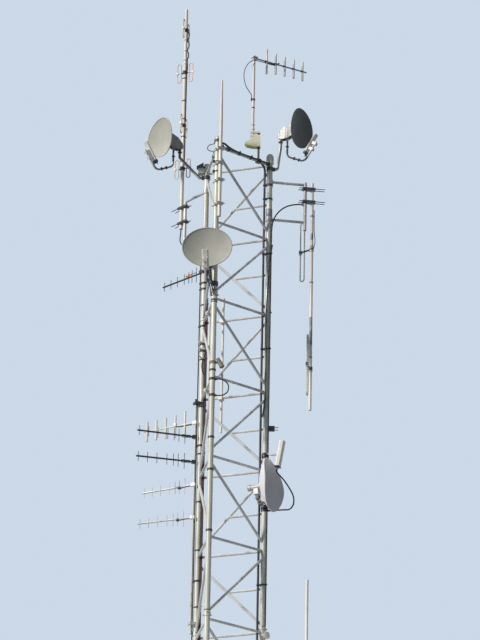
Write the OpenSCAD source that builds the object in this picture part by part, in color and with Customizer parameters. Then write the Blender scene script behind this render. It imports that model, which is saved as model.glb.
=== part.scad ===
// Lattice radio mast with its dishes, yagis, dipole arrays and whips.
// The mast stands on three legs. The front leg's base plate holds the origin.
// All sizes are in millimetres, and +Z is up.

/* [Lattice] */
// Spacing of the leg centres along each face
face_w = 850; // [820:10:880]
// Height of one bay, from one horizontal to the next
bay_h = 1020; // [980:10:1060]
// Number of bays above the base
bays = 7; // [7:1:8]
// Height of the lowest horizontals above the ground
foot_h = 110; // [100:5:150]
// Length of leg above the top horizontals
leg_stub = 120; // [100:5:150]
// Outer diameter of a leg tube
leg_d = 70; // [64:1:76]
// Wall of a leg tube
leg_wall = 5; // [3:0.5:8]
// Diameter of the horizontals and diagonals
brace_d = 34; // [28:1:38]
// Diameter of the short struts on the rear face
strut_d = 30; // [24:1:34]
// Height between a horizontal's line and the diagonal's line at the leg's centre
brace_offset = 80; // [76:1:90]

/* [Joints and base] */
// Outer diameter of the sleeve at a leg joint
sleeve_d = 84; // [82:1:92]
// Half length of the sleeve
sleeve_lap = 26; // [20:1:28]
// Height of a leg joint above its horizontals
splice_up = 56; // [54:1:60]
// Side of a base plate
base_w = 220; // [200:5:260]
// Thickness of a base plate
base_t = 16; // [12:1:20]
// Diameter of an anchor hole
anchor_d = 22; // [18:1:26]
// Spacing of the anchor holes
anchor_pitch = 150; // [140:1:170]
// Height of the gussets on a base plate
gusset_h = 64; // [40:1:70]
// Thickness of a gusset
gusset_t = 8; // [6:1:12]
// Thickness of the cap on a leg
cap_t = 4; // [3:1:8]

/* [Dishes] */
// Width of a small reflector
dish_w = 610; // [560:5:640]
// Height of a small reflector
dish_h = 480; // [440:5:520]
// Width of the large reflector
big_dish_w = 600; // [560:5:640]
// Height of the large reflector
big_dish_h = 660; // [620:5:680]
// Radius of the small reflectors' curve
dish_curve = 780; // [700:10:900]
// Wall of a reflector
dish_wall = 3; // [2:0.5:4]
// Thickness of a reflector's rim
rim_t = 9; // [6:1:12]
// Width of a reflector's rim
rim_w = 10; // [8:1:14]
// Forward lean of a small reflector in degrees
dish_lean = 11; // [8:1:14]
// Side curve of the large reflector
big_curve = 350; // [330:5:400]
// Upright curve of the large reflector
big_curve_up = 540; // [500:10:620]
// Distance from the pipe to a small reflector's face
bracket_reach = 235; // [225:1:250]
// Distance from the pipe to the large reflector's face
big_reach = 63; // [60:1:70]
// Diameter of the cup behind the large reflector
cup_d = 80; // [70:2:90]
// Length of that cup
cup_l = 172; // [150:2:190]
// Outer diameter of a dish pipe
pipe_d = 38; // [34:1:42]
// Outer diameter of a feed arm
feed_arm_d = 24; // [20:1:26]
// Length of a small dish's radio
radio_l = 290; // [270:5:310]
// Length of the large dish's radio
big_radio_l = 335; // [310:5:350]
// Width of a small dish's radio
radio_w = 78; // [72:1:84]
// Thickness of a small dish's radio
radio_t = 32; // [29:1:38]
// Width of the large dish's radio
big_radio_w = 86; // [80:1:92]
// Thickness of the large dish's radio
big_radio_t = 60; // [50:1:66]

/* [Dipole arrays] */
// Outer diameter of the left array's mast
left_mast_d = 48; // [44:1:52]
// Height of the left array's mast
left_mast_h = 3130; // [3080:10:3180]
// Length of a dipole on the left array
left_dipole_l = 275; // [250:5:300]
// Outer diameter of the right array's mast
right_mast_d = 38; // [34:1:42]
// Height of the right array's mast
right_mast_h = 3040; // [3000:10:3100]
// Length of a dipole on the right array
right_dipole_l = 810; // [780:10:840]
// Length of the arms that hold the left array off its leg
array_arm_l = 425; // [400:5:450]
// Length of the arms that hold the right array off its leg
right_arm_l = 455; // [430:5:480]
// Diameter of those arms
array_arm_d = 34; // [28:1:36]
// Diameter of the bracket pipes between the arms
array_pipe_d = 42; // [38:1:46]
// Distance from the left bracket pipe to its array mast
array_gap = 80; // [72:1:90]
// Distance from the right bracket pipe to its array mast
right_gap = 90; // [80:1:96]

/* [Yagis and whips] */
// Boom length of a seven element yagi
yagi_l = 735; // [700:5:760]
// Boom diameter of a seven element yagi
boom_d = 22; // [18:1:24]
// Element diameter of a seven element yagi
thin_d = 8; // [6:1:10]
// Element diameter of a five element yagi
thick_d = 26; // [22:1:30]
// Boom diameter of a five element yagi
thick_boom_d = 18; // [14:1:20]
// Boom length of the top yagi
top_yagi_l = 777; // [750:1:800]
// Diameter of the pipe that holds the left yagis
yagi_pipe_d = 26; // [22:1:30]
// Height of the main whip's foot tube
whip_foot_h = 900; // [850:10:950]
// Height of the main whip above its foot tube
whip_h = 960; // [900:10:1000]
// Diameter of the main whip's foot tube
whip_d = 46; // [42:1:50]
// Length of the upper mast of the top yagi
top_mast_h = 1245; // [1200:5:1290]
// Diameter of the upper mast of the top yagi
top_mast_d = 34; // [30:1:38]

/* [Hidden] */
// Running clearance between a bar's end and the leg that it is coped to
cope_gap = 0.2;
// Clearance between a clamp and what it holds
fit_gap = 0.3;
// Clearance between a gland and the end of its cord
gland_gap = 0.7;
curve_fn = 48;
bar_fn = 8;

steel = [0.72, 0.73, 0.70];
fibreglass = [0.93, 0.91, 0.84];
dark_steel = [0.18, 0.17, 0.17];
black_plastic = [0.08, 0.08, 0.09];
dish_grey = [0.68, 0.68, 0.65];

// Legs are numbered 0 for the front one, 1 for the right one and 2 for the left one
FRONT = 0;
RIGHT = 1;
LEFT = 2;
leg_angle = [-90, 30, 150];
leg_r = face_w / sqrt(3);
top_z = foot_h + bays * bay_h;
upper_joint = top_z - 2 * bay_h + splice_up;
lower_joint = top_z - 6 * bay_h + splice_up;

function unit(v) = v / norm(v);
function last(v) = v[len(v) - 1];
function heading(a) = [cos(a), sin(a)];
function leg_xy(i) = leg_r * heading(leg_angle[i]);
function at_z(p, z) = [p.x, p.y, z];

// Height of a point that lies a drop below a level of horizontals, where level 0 is the top one
function below(level, drop) = top_z - level * bay_h - drop;

// The lattice's axis stands behind the front leg, whose centre is the origin
module on_axis() {
    translate([0, leg_r, 0]) children();
}

module along(v) {
    rotate([0, acos(v.z / norm(v)), atan2(v.y, v.x)]) children();
}

module bar(p, q, d, sides = curve_fn) {
    translate(p) along(q - p) cylinder(h = norm(q - p), d = d, $fn = sides);
}

module tube(h, d, wall) {
    difference() {
        cylinder(h = h, d = d, $fn = curve_fn);
        translate([0, 0, -1]) cylinder(h = h + 2, d = d - 2 * wall, $fn = curve_fn);
    }
}

module ring(h, d, bore) {
    difference() {
        cylinder(h = h, d = d, center = true, $fn = curve_fn);
        cylinder(h = h + 2, d = bore, center = true, $fn = curve_fn);
    }
}

// Points of an arc that rounds the corner p between directions a and b
function corner_arc(p, a, b, bend) =
    let (turn = acos(a * b), n = unit(cross(a, b)), side = cross(n, a))
    let (c = p - a * bend * tan(turn / 2) + side * bend, steps = ceil(turn / 15))
    [for (k = [0 : steps]) c + bend * (a * sin(turn * k / steps) - side * cos(turn * k / steps))];

// A route with its inner corners rounded
function bent_route(route, bend) =
    let (last = len(route) - 1)
    let (dirs = [for (i = [0 : last - 1]) unit(route[i + 1] - route[i])])
    [route[0], for (i = [1 : last - 1]) each corner_arc(route[i], dirs[i - 1], dirs[i], bend), route[last]];

// A smooth curve through the points of a route, with some steps to each span
function curve_point(a, b, c, d, t) =
    (2 * b + (c - a) * t + (2 * a - 5 * b + 4 * c - d) * t * t + (3 * b - a - 3 * c + d) * t * t * t) / 2;
function curved_route(route, steps) =
    let (last = len(route) - 1)
    [for (i = [0 : last - 1], k = [0 : steps - 1])
        curve_point(route[max(i - 1, 0)], route[i], route[i + 1], route[min(i + 2, last)], k / steps),
     route[last]];

// Directions along a route, and the side vectors that are carried along it without twist
function tangents(route) =
    let (last = len(route) - 1)
    [for (i = [0 : last]) unit(route[min(i + 1, last)] - route[max(i - 1, 0)])];
function flat_to(n, t) = unit(n - (n * t) * t);
function carried(dirs, i, n) =
    i == len(dirs) ? [] : let (m = flat_to(n, dirs[i])) concat([m], carried(dirs, i + 1, m));

// A round rod swept along a route as one closed mesh
module sweep(route, d, sides) {
    dirs = tangents(route);
    start = abs(dirs[0].z) < 0.9 ? [0, 0, 1] : [1, 0, 0];
    normals = carried(dirs, 0, start);
    last = len(route) - 1;
    points = [for (i = [0 : last], k = [0 : sides - 1])
        let (a = 360 * k / sides, side = cross(dirs[i], normals[i]))
        route[i] + d / 2 * (normals[i] * cos(a) + side * sin(a))];
    walls = [for (i = [0 : last - 1], k = [0 : sides - 1])
        let (a = i * sides + k, b = i * sides + (k + 1) % sides)
        each [[a, a + sides, b], [b, a + sides, b + sides]]];
    ends = [[for (k = [0 : sides - 1]) k], [for (k = [sides - 1 : -1 : 0]) last * sides + k]];
    polyhedron(points, concat(walls, ends));
}

module bent_bar(route, d, bend) {
    sweep(bent_route(route, bend), d, 16);
}

module rounded(w, h, r) {
    square([w - 2 * r, h], center = true);
    square([w, h - 2 * r], center = true);
    for (x = [-1, 1], y = [-1, 1])
        translate([x * (w / 2 - r), y * (h / 2 - r)]) circle(r = r, $fn = curve_fn);
}

// Leg sections
module at_legs() {
    on_axis() for (i = [FRONT, RIGHT, LEFT]) translate(leg_xy(i)) children();
}

module sleeve(joint) {
    translate([0, 0, joint]) difference() {
        translate([0, 0, -sleeve_lap]) cylinder(h = 2 * sleeve_lap, d = sleeve_d, $fn = curve_fn);
        cylinder(h = sleeve_lap + 1, d = leg_d + 2 * fit_gap, $fn = curve_fn);
        translate([0, 0, -sleeve_lap - 1])
            cylinder(h = 2 * sleeve_lap, d = leg_d - 2 * leg_wall, $fn = curve_fn);
    }
}

module legs_top_section() {
    color(steel) at_legs() translate([0, 0, upper_joint]) {
        h = top_z + leg_stub - upper_joint;
        tube(h, leg_d, leg_wall);
        translate([0, 0, h]) cylinder(h = cap_t, d = leg_d, $fn = curve_fn);
    }
}

module legs_middle_section() {
    color(steel) at_legs() {
        translate([0, 0, lower_joint]) tube(upper_joint - lower_joint, leg_d, leg_wall);
        sleeve(upper_joint);
    }
}

module gusset() {
    reach = (base_w - leg_d) / 2 - 8;
    rotate([90, 0, 0]) translate([leg_d / 2 - 1, base_t, -gusset_t / 2]) linear_extrude(gusset_t)
        polygon([[0, 0], [reach, 0], [reach, 10], [10, gusset_h], [0, gusset_h]]);
}

module legs_base_section() {
    color(steel) at_legs() {
        translate([0, 0, base_t]) tube(lower_joint - base_t, leg_d, leg_wall);
        sleeve(lower_joint);
        for (a = [0, 90, 180, 270]) rotate(a) gusset();
        difference() {
            translate([-base_w / 2, -base_w / 2, 0]) cube([base_w, base_w, base_t]);
            for (x = [-1, 1], y = [-1, 1])
                translate([x * anchor_pitch / 2, y * anchor_pitch / 2, -1])
                    cylinder(h = base_t + 2, d = anchor_d, $fn = curve_fn);
        }
    }
}

// Share of a rear diagonal, from the right leg, where its strut meets it
strut_share = 0.54;

// Drop of a bay's strut below the bay's upper level
function strut_drop(bay) =
    brace_offset + (bay_h - 2 * brace_offset) * (bay % 2 == 0 ? strut_share : 1 - strut_share);

// Bracing of one face, coped to the legs at both ends
module face_bracing(from, to, struts = false) {
    a = leg_xy(from);
    b = leg_xy(to);
    on_axis() difference() {
        union() {
            for (level = [0 : bays]) {
                z = foot_h + level * bay_h;
                bar(at_z(a, z), at_z(b, z), brace_d, bar_fn);
            }
            for (bay = [0 : bays - 1]) {
                z_hi = top_z - bay * bay_h - brace_offset;
                z_lo = top_z - (bay + 1) * bay_h + brace_offset;
                falls = bay % 2 == 0;
                bar(at_z(falls ? a : b, z_hi), at_z(falls ? b : a, z_lo), brace_d, bar_fn);
                if (struts) {
                    z = below(bay, strut_drop(bay));
                    bar(at_z(a + (b - a) * strut_share, z), at_z(a, z), strut_d, bar_fn);
                }
            }
        }
        for (p = [a, b])
            translate(at_z(p, -1)) cylinder(h = top_z + leg_stub, d = leg_d + 2 * cope_gap, $fn = curve_fn);
    }
}

module bracing_right_face() {
    color(steel) face_bracing(FRONT, RIGHT);
}

module bracing_rear_face() {
    color(steel) face_bracing(RIGHT, LEFT, true);
}

module bracing_left_face() {
    color(steel) face_bracing(LEFT, FRONT);
}

// A folded dipole loop standing in the XZ plane, centred on x
module dipole_loop(x, gap, length, rod) {
    straight = length - gap - rod;
    for (s = [-1, 1]) {
        translate([x + s * gap / 2, 0, -straight / 2]) cylinder(h = straight, d = rod, $fn = curve_fn);
        translate([x, 0, s * straight / 2]) rotate([90, 0, 0]) rotate(s > 0 ? 0 : 180)
            rotate_extrude(angle = 180, $fn = curve_fn)
            translate([gap / 2, 0]) circle(d = rod, $fn = curve_fn);
    }
}

// Left array: four levels of paired dipoles round a mast that two arms hold off the left leg
left_drops = [0, 608, 1366, 1972];
left_first_drop = 320;
left_mast_low = top_z - 590;
left_arm_drops = [244, 764];
left_dir = heading(leg_angle[LEFT]);
left_pipe_xy = leg_xy(LEFT) + array_arm_l * left_dir;
left_mast_xy = left_pipe_xy + array_gap * left_dir;
left_collar_d = left_mast_d + 14;

module left_array_mast() {
    neck = left_first_drop + left_drops[1] - 160;
    color(fibreglass) on_axis() translate(at_z(left_mast_xy, left_mast_low)) {
        tube(left_mast_h - neck, left_mast_d, 4);
        translate([0, 0, left_mast_h - neck]) tube(neck - 20, left_mast_d - 7, 4);
        translate([0, 0, left_mast_h - 24]) cylinder(h = 20, d1 = left_mast_d - 7, d2 = 20, $fn = curve_fn);
        translate([0, 0, fit_gap - 5]) cylinder(h = 12, d = left_mast_d - 4, $fn = curve_fn);
    }
}

module dipole_pair(collar_bore, reach, gap, length, rod, arm) {
    ring(46, collar_bore + 16, collar_bore);
    for (s = [0, 180]) rotate(s) {
        dipole_loop(reach, gap, length, rod);
        translate([collar_bore / 2 + 2, 0, 0]) rotate([0, 90, 0])
            cylinder(h = reach + gap / 2 - collar_bore / 2 - 2, d = arm, $fn = curve_fn);
        translate([reach + gap / 2, 0, 0]) cube([22, 20, 30], center = true);
    }
}

function left_bore(i) = (i < 1 ? left_mast_d - 7 : left_mast_d) + 2 * fit_gap;

module left_array_dipoles() {
    color(dark_steel) on_axis()
        for (i = [0 : 3])
            translate(at_z(left_mast_xy, left_mast_low + left_mast_h - left_first_drop - left_drops[i]))
                rotate(i % 2 == 0 ? 90 : 0)
                    dipole_pair(left_bore(i), 80, 50, left_dipole_l, 14, 16);
}

// Clamp block between a bracket pipe and the mast beside it, with its two long rods
module array_clamp(pipe, mast, gap) {
    difference() {
        translate([-pipe / 2 - 14, -38, -14]) cube([gap + pipe / 2 + mast / 2 + 28, 76, 28]);
        translate([0, 0, -20]) cylinder(h = 40, d = pipe + 2 * fit_gap, $fn = curve_fn);
        translate([gap, 0, -20]) cylinder(h = 40, d = mast + 2 * fit_gap, $fn = curve_fn);
    }
    for (s = [-1, 1]) translate([-pipe / 2 - 60, s * 30, 0])
        rotate([0, 90, 0]) cylinder(h = gap + 240, d = 10, $fn = curve_fn);
}

module array_bracket(leg, drops, clamp_drops, arm_l, gap, mast, pipe_over, pipe_under) {
    out = leg_angle[leg];
    foot = leg_xy(leg);
    hi = top_z - drops[0] + pipe_over;
    lo = top_z - drops[1] - pipe_under;
    on_axis() translate(foot) rotate(out) {
        for (drop = drops) translate([0, 0, top_z - drop]) {
            difference() {
                union() {
                    bar([leg_d / 2, 0, 0], [arm_l, 0, 0], array_arm_d);
                    cylinder(h = 60, d = leg_d + 16, center = true, $fn = curve_fn);
                }
                cylinder(h = 62, d = leg_d + 2 * fit_gap, center = true, $fn = curve_fn);
                translate([arm_l, 0, 0])
                    cylinder(h = 62, d = array_pipe_d - 2, center = true, $fn = curve_fn);
            }
        }
        translate([arm_l, 0, lo]) tube(hi - lo, array_pipe_d, 4);
        for (drop = clamp_drops)
            translate([arm_l, 0, top_z - drop]) array_clamp(array_pipe_d, mast, gap);
    }
}

// Where the right array's cord leaves the bracket pipe
module right_array_gland() {
    start = right_array_points[0];
    pipe = at_z(leg_xy(RIGHT) + right_arm_l * right_dir + [0, leg_r], start.z);
    gland(pipe + unit(start - pipe) * (array_pipe_d / 2 - 2), start, 26);
}

module left_array_bracket() {
    color(steel)
        array_bracket(LEFT, left_arm_drops, [310, 520], array_arm_l, array_gap, left_mast_d, 18, 60);
}

// Right array: two long dipoles on a mast that hangs below its arms
right_arm_drops = [230, 743];
right_mast_low = top_z - 3245;
right_dir = heading(leg_angle[RIGHT]);
right_mast_xy = leg_xy(RIGHT) + (right_arm_l + right_gap) * right_dir;
right_dipole_drops = [1100, 2705];
right_dipole_headings = [160, -84];

module right_array_mast() {
    color(fibreglass) on_axis() translate(at_z(right_mast_xy, right_mast_low)) {
        tube(right_mast_h, right_mast_d, 3);
        translate([0, 0, right_mast_h]) cylinder(h = 4, d = right_mast_d, $fn = curve_fn);
    }
}

module right_array_dipoles() {
    bore = right_mast_d + 2 * fit_gap;
    reach = 150;
    gap = 64;
    color(steel) on_axis()
        for (i = [0, 1]) translate(at_z(right_mast_xy, top_z - right_dipole_drops[i]))
            rotate(right_dipole_headings[i]) {
                ring(60, bore + 16, bore);
                dipole_loop(reach, gap, right_dipole_l, 16);
                translate([bore / 2 + 2, 0, 0]) rotate([0, 90, 0])
                    cylinder(h = reach + gap / 2 - bore / 2 - 2, d = 22, $fn = curve_fn);
                translate([reach + gap / 2, 0, 0]) cube([30, 26, 60], center = true);
            }
}

module right_array_bracket() {
    color(steel) {
        array_bracket(RIGHT, right_arm_drops, [285, 460], right_arm_l, right_gap, right_mast_d, 30, 110);
        right_array_gland();
    }
}

// Main whip in front of the front leg
whip_xy = leg_xy(FRONT) + [59, -47];
whip_low = top_z - 975;

module main_whip() {
    color(fibreglass) on_axis() translate(at_z(whip_xy, whip_low)) {
        tube(whip_foot_h, whip_d, 4);
        translate([0, 0, whip_foot_h]) cylinder(h = 420, d = whip_d - 4, $fn = curve_fn);
        translate([0, 0, whip_foot_h + 420])
            cylinder(h = whip_h - 420, d1 = whip_d - 4, d2 = 24, $fn = curve_fn);
    }
}

// Two plates squeeze a leg and the pipe beside it
module pair_clamp(leg_bore, other, bore, h) {
    d = norm(other);
    rotate(atan2(other.y, other.x)) difference() {
        translate([-leg_bore / 2 - 10, -(leg_bore / 2 + 8), -h / 2])
            cube([leg_bore / 2 + d + bore / 2 + 20, leg_bore + 16, h]);
        cylinder(h = h + 2, d = leg_bore, center = true, $fn = curve_fn);
        translate([d, 0, 0]) cylinder(h = h + 2, d = bore, center = true, $fn = curve_fn);
    }
}

whip_foot_top = whip_low + whip_foot_h;

module main_whip_clamps() {
    bore = leg_d + 2 * fit_gap;
    color(dark_steel) on_axis() for (z = [below(0, 54), below(0, 250), below(0, 480), below(0, 800)]) {
        held_d = z > whip_foot_top ? whip_d - 4 : whip_d;
        translate(at_z(leg_xy(FRONT), z)) pair_clamp(bore, whip_xy - leg_xy(FRONT), held_d + 2 * fit_gap, 26);
    }
    // Collar with the glands of the two cables that leave the leg's top
    color(dark_steel) translate([0, 0, top_face_points[0].z]) ring(34, leg_d + 16, bore);
    color(dark_steel) for (end = [top_face_points[0], leg_top_points[0]])
        gland(at_z(unit([end.x, end.y]) * (leg_d / 2 + 4), end.z), end, 30);
}

// Top yagi on its own mast, which a folded bracket holds beside a short post
top_post_xy = leg_xy(FRONT) + (leg_xy(RIGHT) - leg_xy(FRONT)) * 0.775;
top_post_d = 28;
top_offset = [-71, -26];
top_mast_xy = top_post_xy + top_offset;
top_bracket_z = top_z + 205;
top_mast_low = top_bracket_z + 20 + fit_gap;
top_yagi_z = top_mast_low + top_mast_h - 30.3;
top_post_h = 395;

module top_yagi_mast() {
    color(fibreglass) on_axis() translate(at_z(top_mast_xy, top_mast_low)) {
        tube(top_mast_h, top_mast_d, 3);
        translate([0, 0, top_mast_h]) cylinder(h = 4, d = top_mast_d, $fn = curve_fn);
    }
}

module top_yagi_post() {
    color(steel) on_axis() translate(at_z(top_post_xy, top_z)) {
        translate([0, 0, brace_d / 2 + fit_gap]) cylinder(h = top_post_h, d = top_post_d, $fn = curve_fn);
        rotate(60) difference() {
            translate([-30, -brace_d / 2 - 7, -brace_d / 2 - 7]) cube([60, brace_d + 14, brace_d + 22]);
            rotate([0, 90, 0]) cylinder(h = 70, d = brace_d + 2 * fit_gap, center = true, $fn = curve_fn);
        }
    }
}

// Seen along the offset, the bracket is a folded plate with a sloped foot, and a block grips the mast on it
module top_yagi_bracket() {
    reach = norm(top_offset);
    bore = top_post_d + 2 * fit_gap;
    turn = atan2(top_offset.y, top_offset.x);
    color(fibreglass) on_axis() translate(at_z(top_post_xy, top_bracket_z)) rotate(turn) {
        difference() {
            rotate([90, 0, 0]) linear_extrude(84, center = true)
                polygon([[-24, -18], [70, -18], [150, 0], [176, 22],
                         [160, 52], [108, 68], [50, 125], [-24, 125]]);
            translate([0, 0, -20]) cylinder(h = 150, d = bore, $fn = curve_fn);
            translate([reach, 0, 20]) cylinder(h = 110, d = top_mast_d + 2 * fit_gap, $fn = curve_fn);
        }
        for (z = [140, 190]) translate([0, 0, z]) difference() {
            translate([-bore / 2 - 6, -24, -10]) cube([reach + bore / 2 + top_mast_d / 2 + 14, 48, 20]);
            cylinder(h = 22, d = bore, center = true, $fn = curve_fn);
            translate([reach, 0, 0])
                cylinder(h = 22, d = top_mast_d + 2 * fit_gap, center = true, $fn = curve_fn);
        }
    }
}

module five_yagi(length, places) {
    sizes = [345, 288, 270, 264, 262];
    rotate([0, 90, 0]) translate([0, 0, 20]) cylinder(h = length - 20, d = thick_boom_d, $fn = curve_fn);
    for (i = [0 : 4]) translate([places[i], 0, 0])
        cylinder(h = sizes[i], d = thick_d, center = true, $fn = curve_fn);
}

module boom_clamp(bore) {
    difference() {
        translate([-bore / 2 - 7, -bore / 2 - 7, -20]) cube([bore + 30, bore + 14, 40]);
        cylinder(h = 42, d = bore, center = true, $fn = curve_fn);
    }
}

module top_yagi() {
    color(fibreglass) on_axis() translate(at_z(top_mast_xy, top_yagi_z)) rotate(51) {
        five_yagi(top_yagi_l, [187, 321, 455, 589, 720]);
        boom_clamp(top_mast_d + 2 * fit_gap);
    }
    // Gland beside the boom, where the cable starts
    start = at_z(top_yagi_points[0], top_yagi_z);
    color(fibreglass) gland(start - [24, -19, 0], start, 20);
}

// Left yagis on a slim pipe beside the left leg
yagi_pipe_off = [-53, -53];
yagi_pipe_xy = leg_xy(LEFT) + yagi_pipe_off;
yagi_pipe_clamps = [below(5, 840), below(3, 50)];
yagi_pipe_low = below(6, -50);
yagi_pipe_top = below(3, 0);
yagi_heights = [below(1, 320), below(3, 306), below(3, 495),
                below(3, 820), below(4, 93), below(4, 514)];
yagi_headings = [155, 170, -142, -144, 171, 178];

function feeder_at(i) = at_z(feeders[i][1], 0);

module left_yagi_pipe() {
    color(steel) on_axis() difference() {
        union() {
            translate(at_z(yagi_pipe_xy, yagi_pipe_low)) tube(yagi_pipe_top - yagi_pipe_low, yagi_pipe_d, 3);
            for (z = yagi_pipe_clamps) translate(at_z(leg_xy(LEFT), z))
                pair_clamp(leg_d + 2 * fit_gap, yagi_pipe_off, yagi_pipe_d - 2, 30);
        }
        for (z = yagi_pipe_clamps) translate(at_z(leg_xy(LEFT), z)) translate(feeder_at(2))
            cylinder(h = 60, d = feeders[2][2] + 2 * fit_gap, center = true, $fn = curve_fn);
    }
}

module seven_yagi() {
    places = [129, 206, 266, 348, 474, 592, 708];
    sizes = [202, 168, 154, 142, 138, 130, 124];
    rotate([0, 90, 0]) translate([0, 0, 16]) cylinder(h = yagi_l - 16, d = boom_d, $fn = curve_fn);
    for (i = [0 : 6]) translate([places[i] * yagi_l / 735, 0, 0])
        cylinder(h = sizes[i], d = thin_d, center = true, $fn = curve_fn);
}

module placed_yagi(i) {
    on_axis() translate(at_z(yagi_pipe_xy, yagi_heights[i])) rotate(yagi_headings[i]) {
        seven_yagi();
        boom_clamp(yagi_pipe_d + 2 * fit_gap);
    }
}

module black_yagis() {
    color(black_plastic) {
        on_axis() translate(at_z(leg_xy(LEFT), yagi_heights[0])) rotate(yagi_headings[0]) {
            translate([20, 0, 0]) seven_yagi();
            difference() {
                boom_clamp(leg_d + 2 * fit_gap);
                rotate(-yagi_headings[0]) translate(feeder_at(2))
                    cylinder(h = 60, d = feeders[2][2] + 2 * fit_gap, center = true, $fn = curve_fn);
            }
        }
        for (i = [2, 3]) placed_yagi(i);
    }
}

module steel_yagis() {
    color(steel) for (i = [4, 5]) placed_yagi(i);
}

module thick_yagi() {
    color(fibreglass) on_axis() translate(at_z(yagi_pipe_xy, yagi_heights[1])) rotate(yagi_headings[1]) {
        five_yagi(yagi_l + 10, [151, 290, 428, 565, 698]);
        boom_clamp(yagi_pipe_d + 2 * fit_gap);
    }
}

// Dishes: place, heading and size of each, with the point where its pipe is clamped
// The pipe's offset is measured from the leg that carries the dish
dish_leg = [LEFT, FRONT, RIGHT, RIGHT];
dish_pipe_offset = [[-326, -125], [-28, -107], [122, 47], [10, -305]];
dish_heading = [230, -75.6, -5, -2];
dish_z = [below(0, -450), below(1, 489), below(0, -477), below(4, strut_drop(4) - 242)];
dish_foot_z = [below(0, 54), below(2, -190), below(0, 54), below(4, strut_drop(4) - 77)];
radio_lean = 58;
radio_at = [180, -255];
arm_gap = 54;
big_lean = -3;

// The large radio stands on an arm of its own, above the large dish
big_radio_off = [296, -287];
big_radio_z = below(3, 930);
big_radio_heading = 3;
big_radio_lean = 10;
radio_arm_z = below(3, 826);
radio_arm_heading = -60;

module at_dish(i) {
    reach = i < 3 ? bracket_reach : big_reach;
    p = leg_xy(dish_leg[i]) + dish_pipe_offset[i] + reach * heading(dish_heading[i]);
    on_axis() translate(at_z(p, dish_z[i])) rotate(dish_heading[i]) children();
}

module ellipse_prism(w, h, depth) {
    rotate([0, 90, 0]) linear_extrude(depth) scale([h / w, 1]) circle(d = w, $fn = 96);
}

// Profile of a shell as distance from the axis and depth
function shell_point(r, a) = [r * sin(a), dish_curve - r * cos(a)];

module shell(inner, outer, reach) {
    edge = asin(reach / dish_curve) + 2;
    steps = 8;
    rotate([0, 90, 0]) rotate_extrude($fn = 96) polygon([
        for (k = [0 : steps]) shell_point(dish_curve + inner, edge * k / steps),
        for (k = [steps : -1 : 0]) shell_point(dish_curve + outer, edge * k / steps)
    ]);
}

// The large reflector curves more to its sides than up and down, as part of a ring's surface
function ring_point(r, a) = [big_curve_up - big_curve + r * cos(a), r * sin(a)];

module ring_shell(inner, outer, reach) {
    edge = asin(reach / big_curve) + 2;
    steps = 8;
    translate([big_curve_up, 0, 0]) rotate([90, 0, 0]) rotate(135) rotate_extrude(angle = 90, $fn = 96)
        polygon([
            for (k = [-steps : steps]) ring_point(big_curve + inner, edge * k / steps),
            for (k = [steps : -1 : -steps]) ring_point(big_curve + outer, edge * k / steps)
        ]);
}

// A reflector is as thick as its rim, with the back hollowed out inside the rim
module reflector(w, h, lean) {
    rotate([0, lean, 0]) difference() {
        intersection() {
            children(0);
            translate([-30, 0, 0]) ellipse_prism(w, h, 230);
        }
        intersection() {
            children(1);
            translate([-31, 0, 0]) ellipse_prism(w - 2 * rim_w, h - 2 * rim_w, 232);
        }
    }
}

// Point of a bracket in its own plane, after the reflector's lean
function leaned(x, z, lean) = [x * cos(lean) + z * sin(lean), z * cos(lean) - x * sin(lean)];

module bracket_ears(lean) {
    back = -dish_wall - fit_gap;
    for (s = [-1, 1])
        translate([0, s * 34 + 2.5, 0]) rotate([90, 0, 0]) linear_extrude(5)
            polygon([leaned(back - 6, 62, lean), leaned(back - 6, -72, lean), [-120, -118], [-210, -128],
                     [-262, -106], [-255, -40], [-190, 30], [-110, 66]]);
    rotate([0, lean, 0]) translate([back - 8, -75, -80]) cube([8, 150, 150]);
}

module pipe_grip(reach, h) {
    difference() {
        translate([-reach - 30, -36, -100]) cube([60, 72, h]);
        translate([-reach, 0, -110]) cylinder(h = 60, d = pipe_d + 2 * fit_gap, $fn = curve_fn);
    }
}

function radio_point(along, across) =
    [radio_at.x + along * cos(radio_lean) - across * sin(radio_lean), 0,
     radio_at.y + along * sin(radio_lean) + across * cos(radio_lean)];

// Where the feed arm enters the block between the ears
arm_x = -140;
small_arm_z = -98;

module small_bracket() {
    bracket_ears(dish_lean);
    pipe_grip(bracket_reach, 40);
    difference() {
        translate([arm_x - 18, -40, -122]) cube([36, 80, 34]);
        translate([arm_x, 0, small_arm_z + fit_gap - 50])
            cylinder(h = 50, d = feed_arm_d + 2 * fit_gap, $fn = curve_fn);
    }
}

module big_bracket() {
    pipe_grip(big_reach, 72);
    rotate([0, big_lean, 0]) translate([-cup_l, 0, 0]) rotate([0, 90, 0]) {
        cylinder(h = cup_l - dish_wall - fit_gap, d = cup_d - 16, $fn = curve_fn);
        cylinder(h = 34, d = cup_d, $fn = curve_fn);
        translate([0, 0, cup_l - dish_wall - fit_gap - 12]) cylinder(h = 12, d = cup_d + 30, $fn = curve_fn);
    }
}

small_arm_route = [[arm_x, 0, small_arm_z], [arm_x, 0, -370],
                   radio_point(-235, -arm_gap), radio_point(60, -arm_gap)];

// The large radio's arm leaves its collar on the right leg and ends at the radio's back
radio_arm_out = heading(radio_arm_heading);
radio_back = big_radio_off - heading(big_radio_heading)
    * (big_radio_t / 2 / cos(big_radio_lean) + feed_arm_d / 2 * tan(big_radio_lean) + fit_gap);
radio_arm_route = [at_z(radio_arm_out * (leg_d / 2 + 7), radio_arm_z),
                   at_z(radio_arm_out * 110, radio_arm_z),
                   at_z(radio_back - 80 * heading(big_radio_heading), big_radio_z),
                   at_z(radio_back, big_radio_z)];

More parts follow.
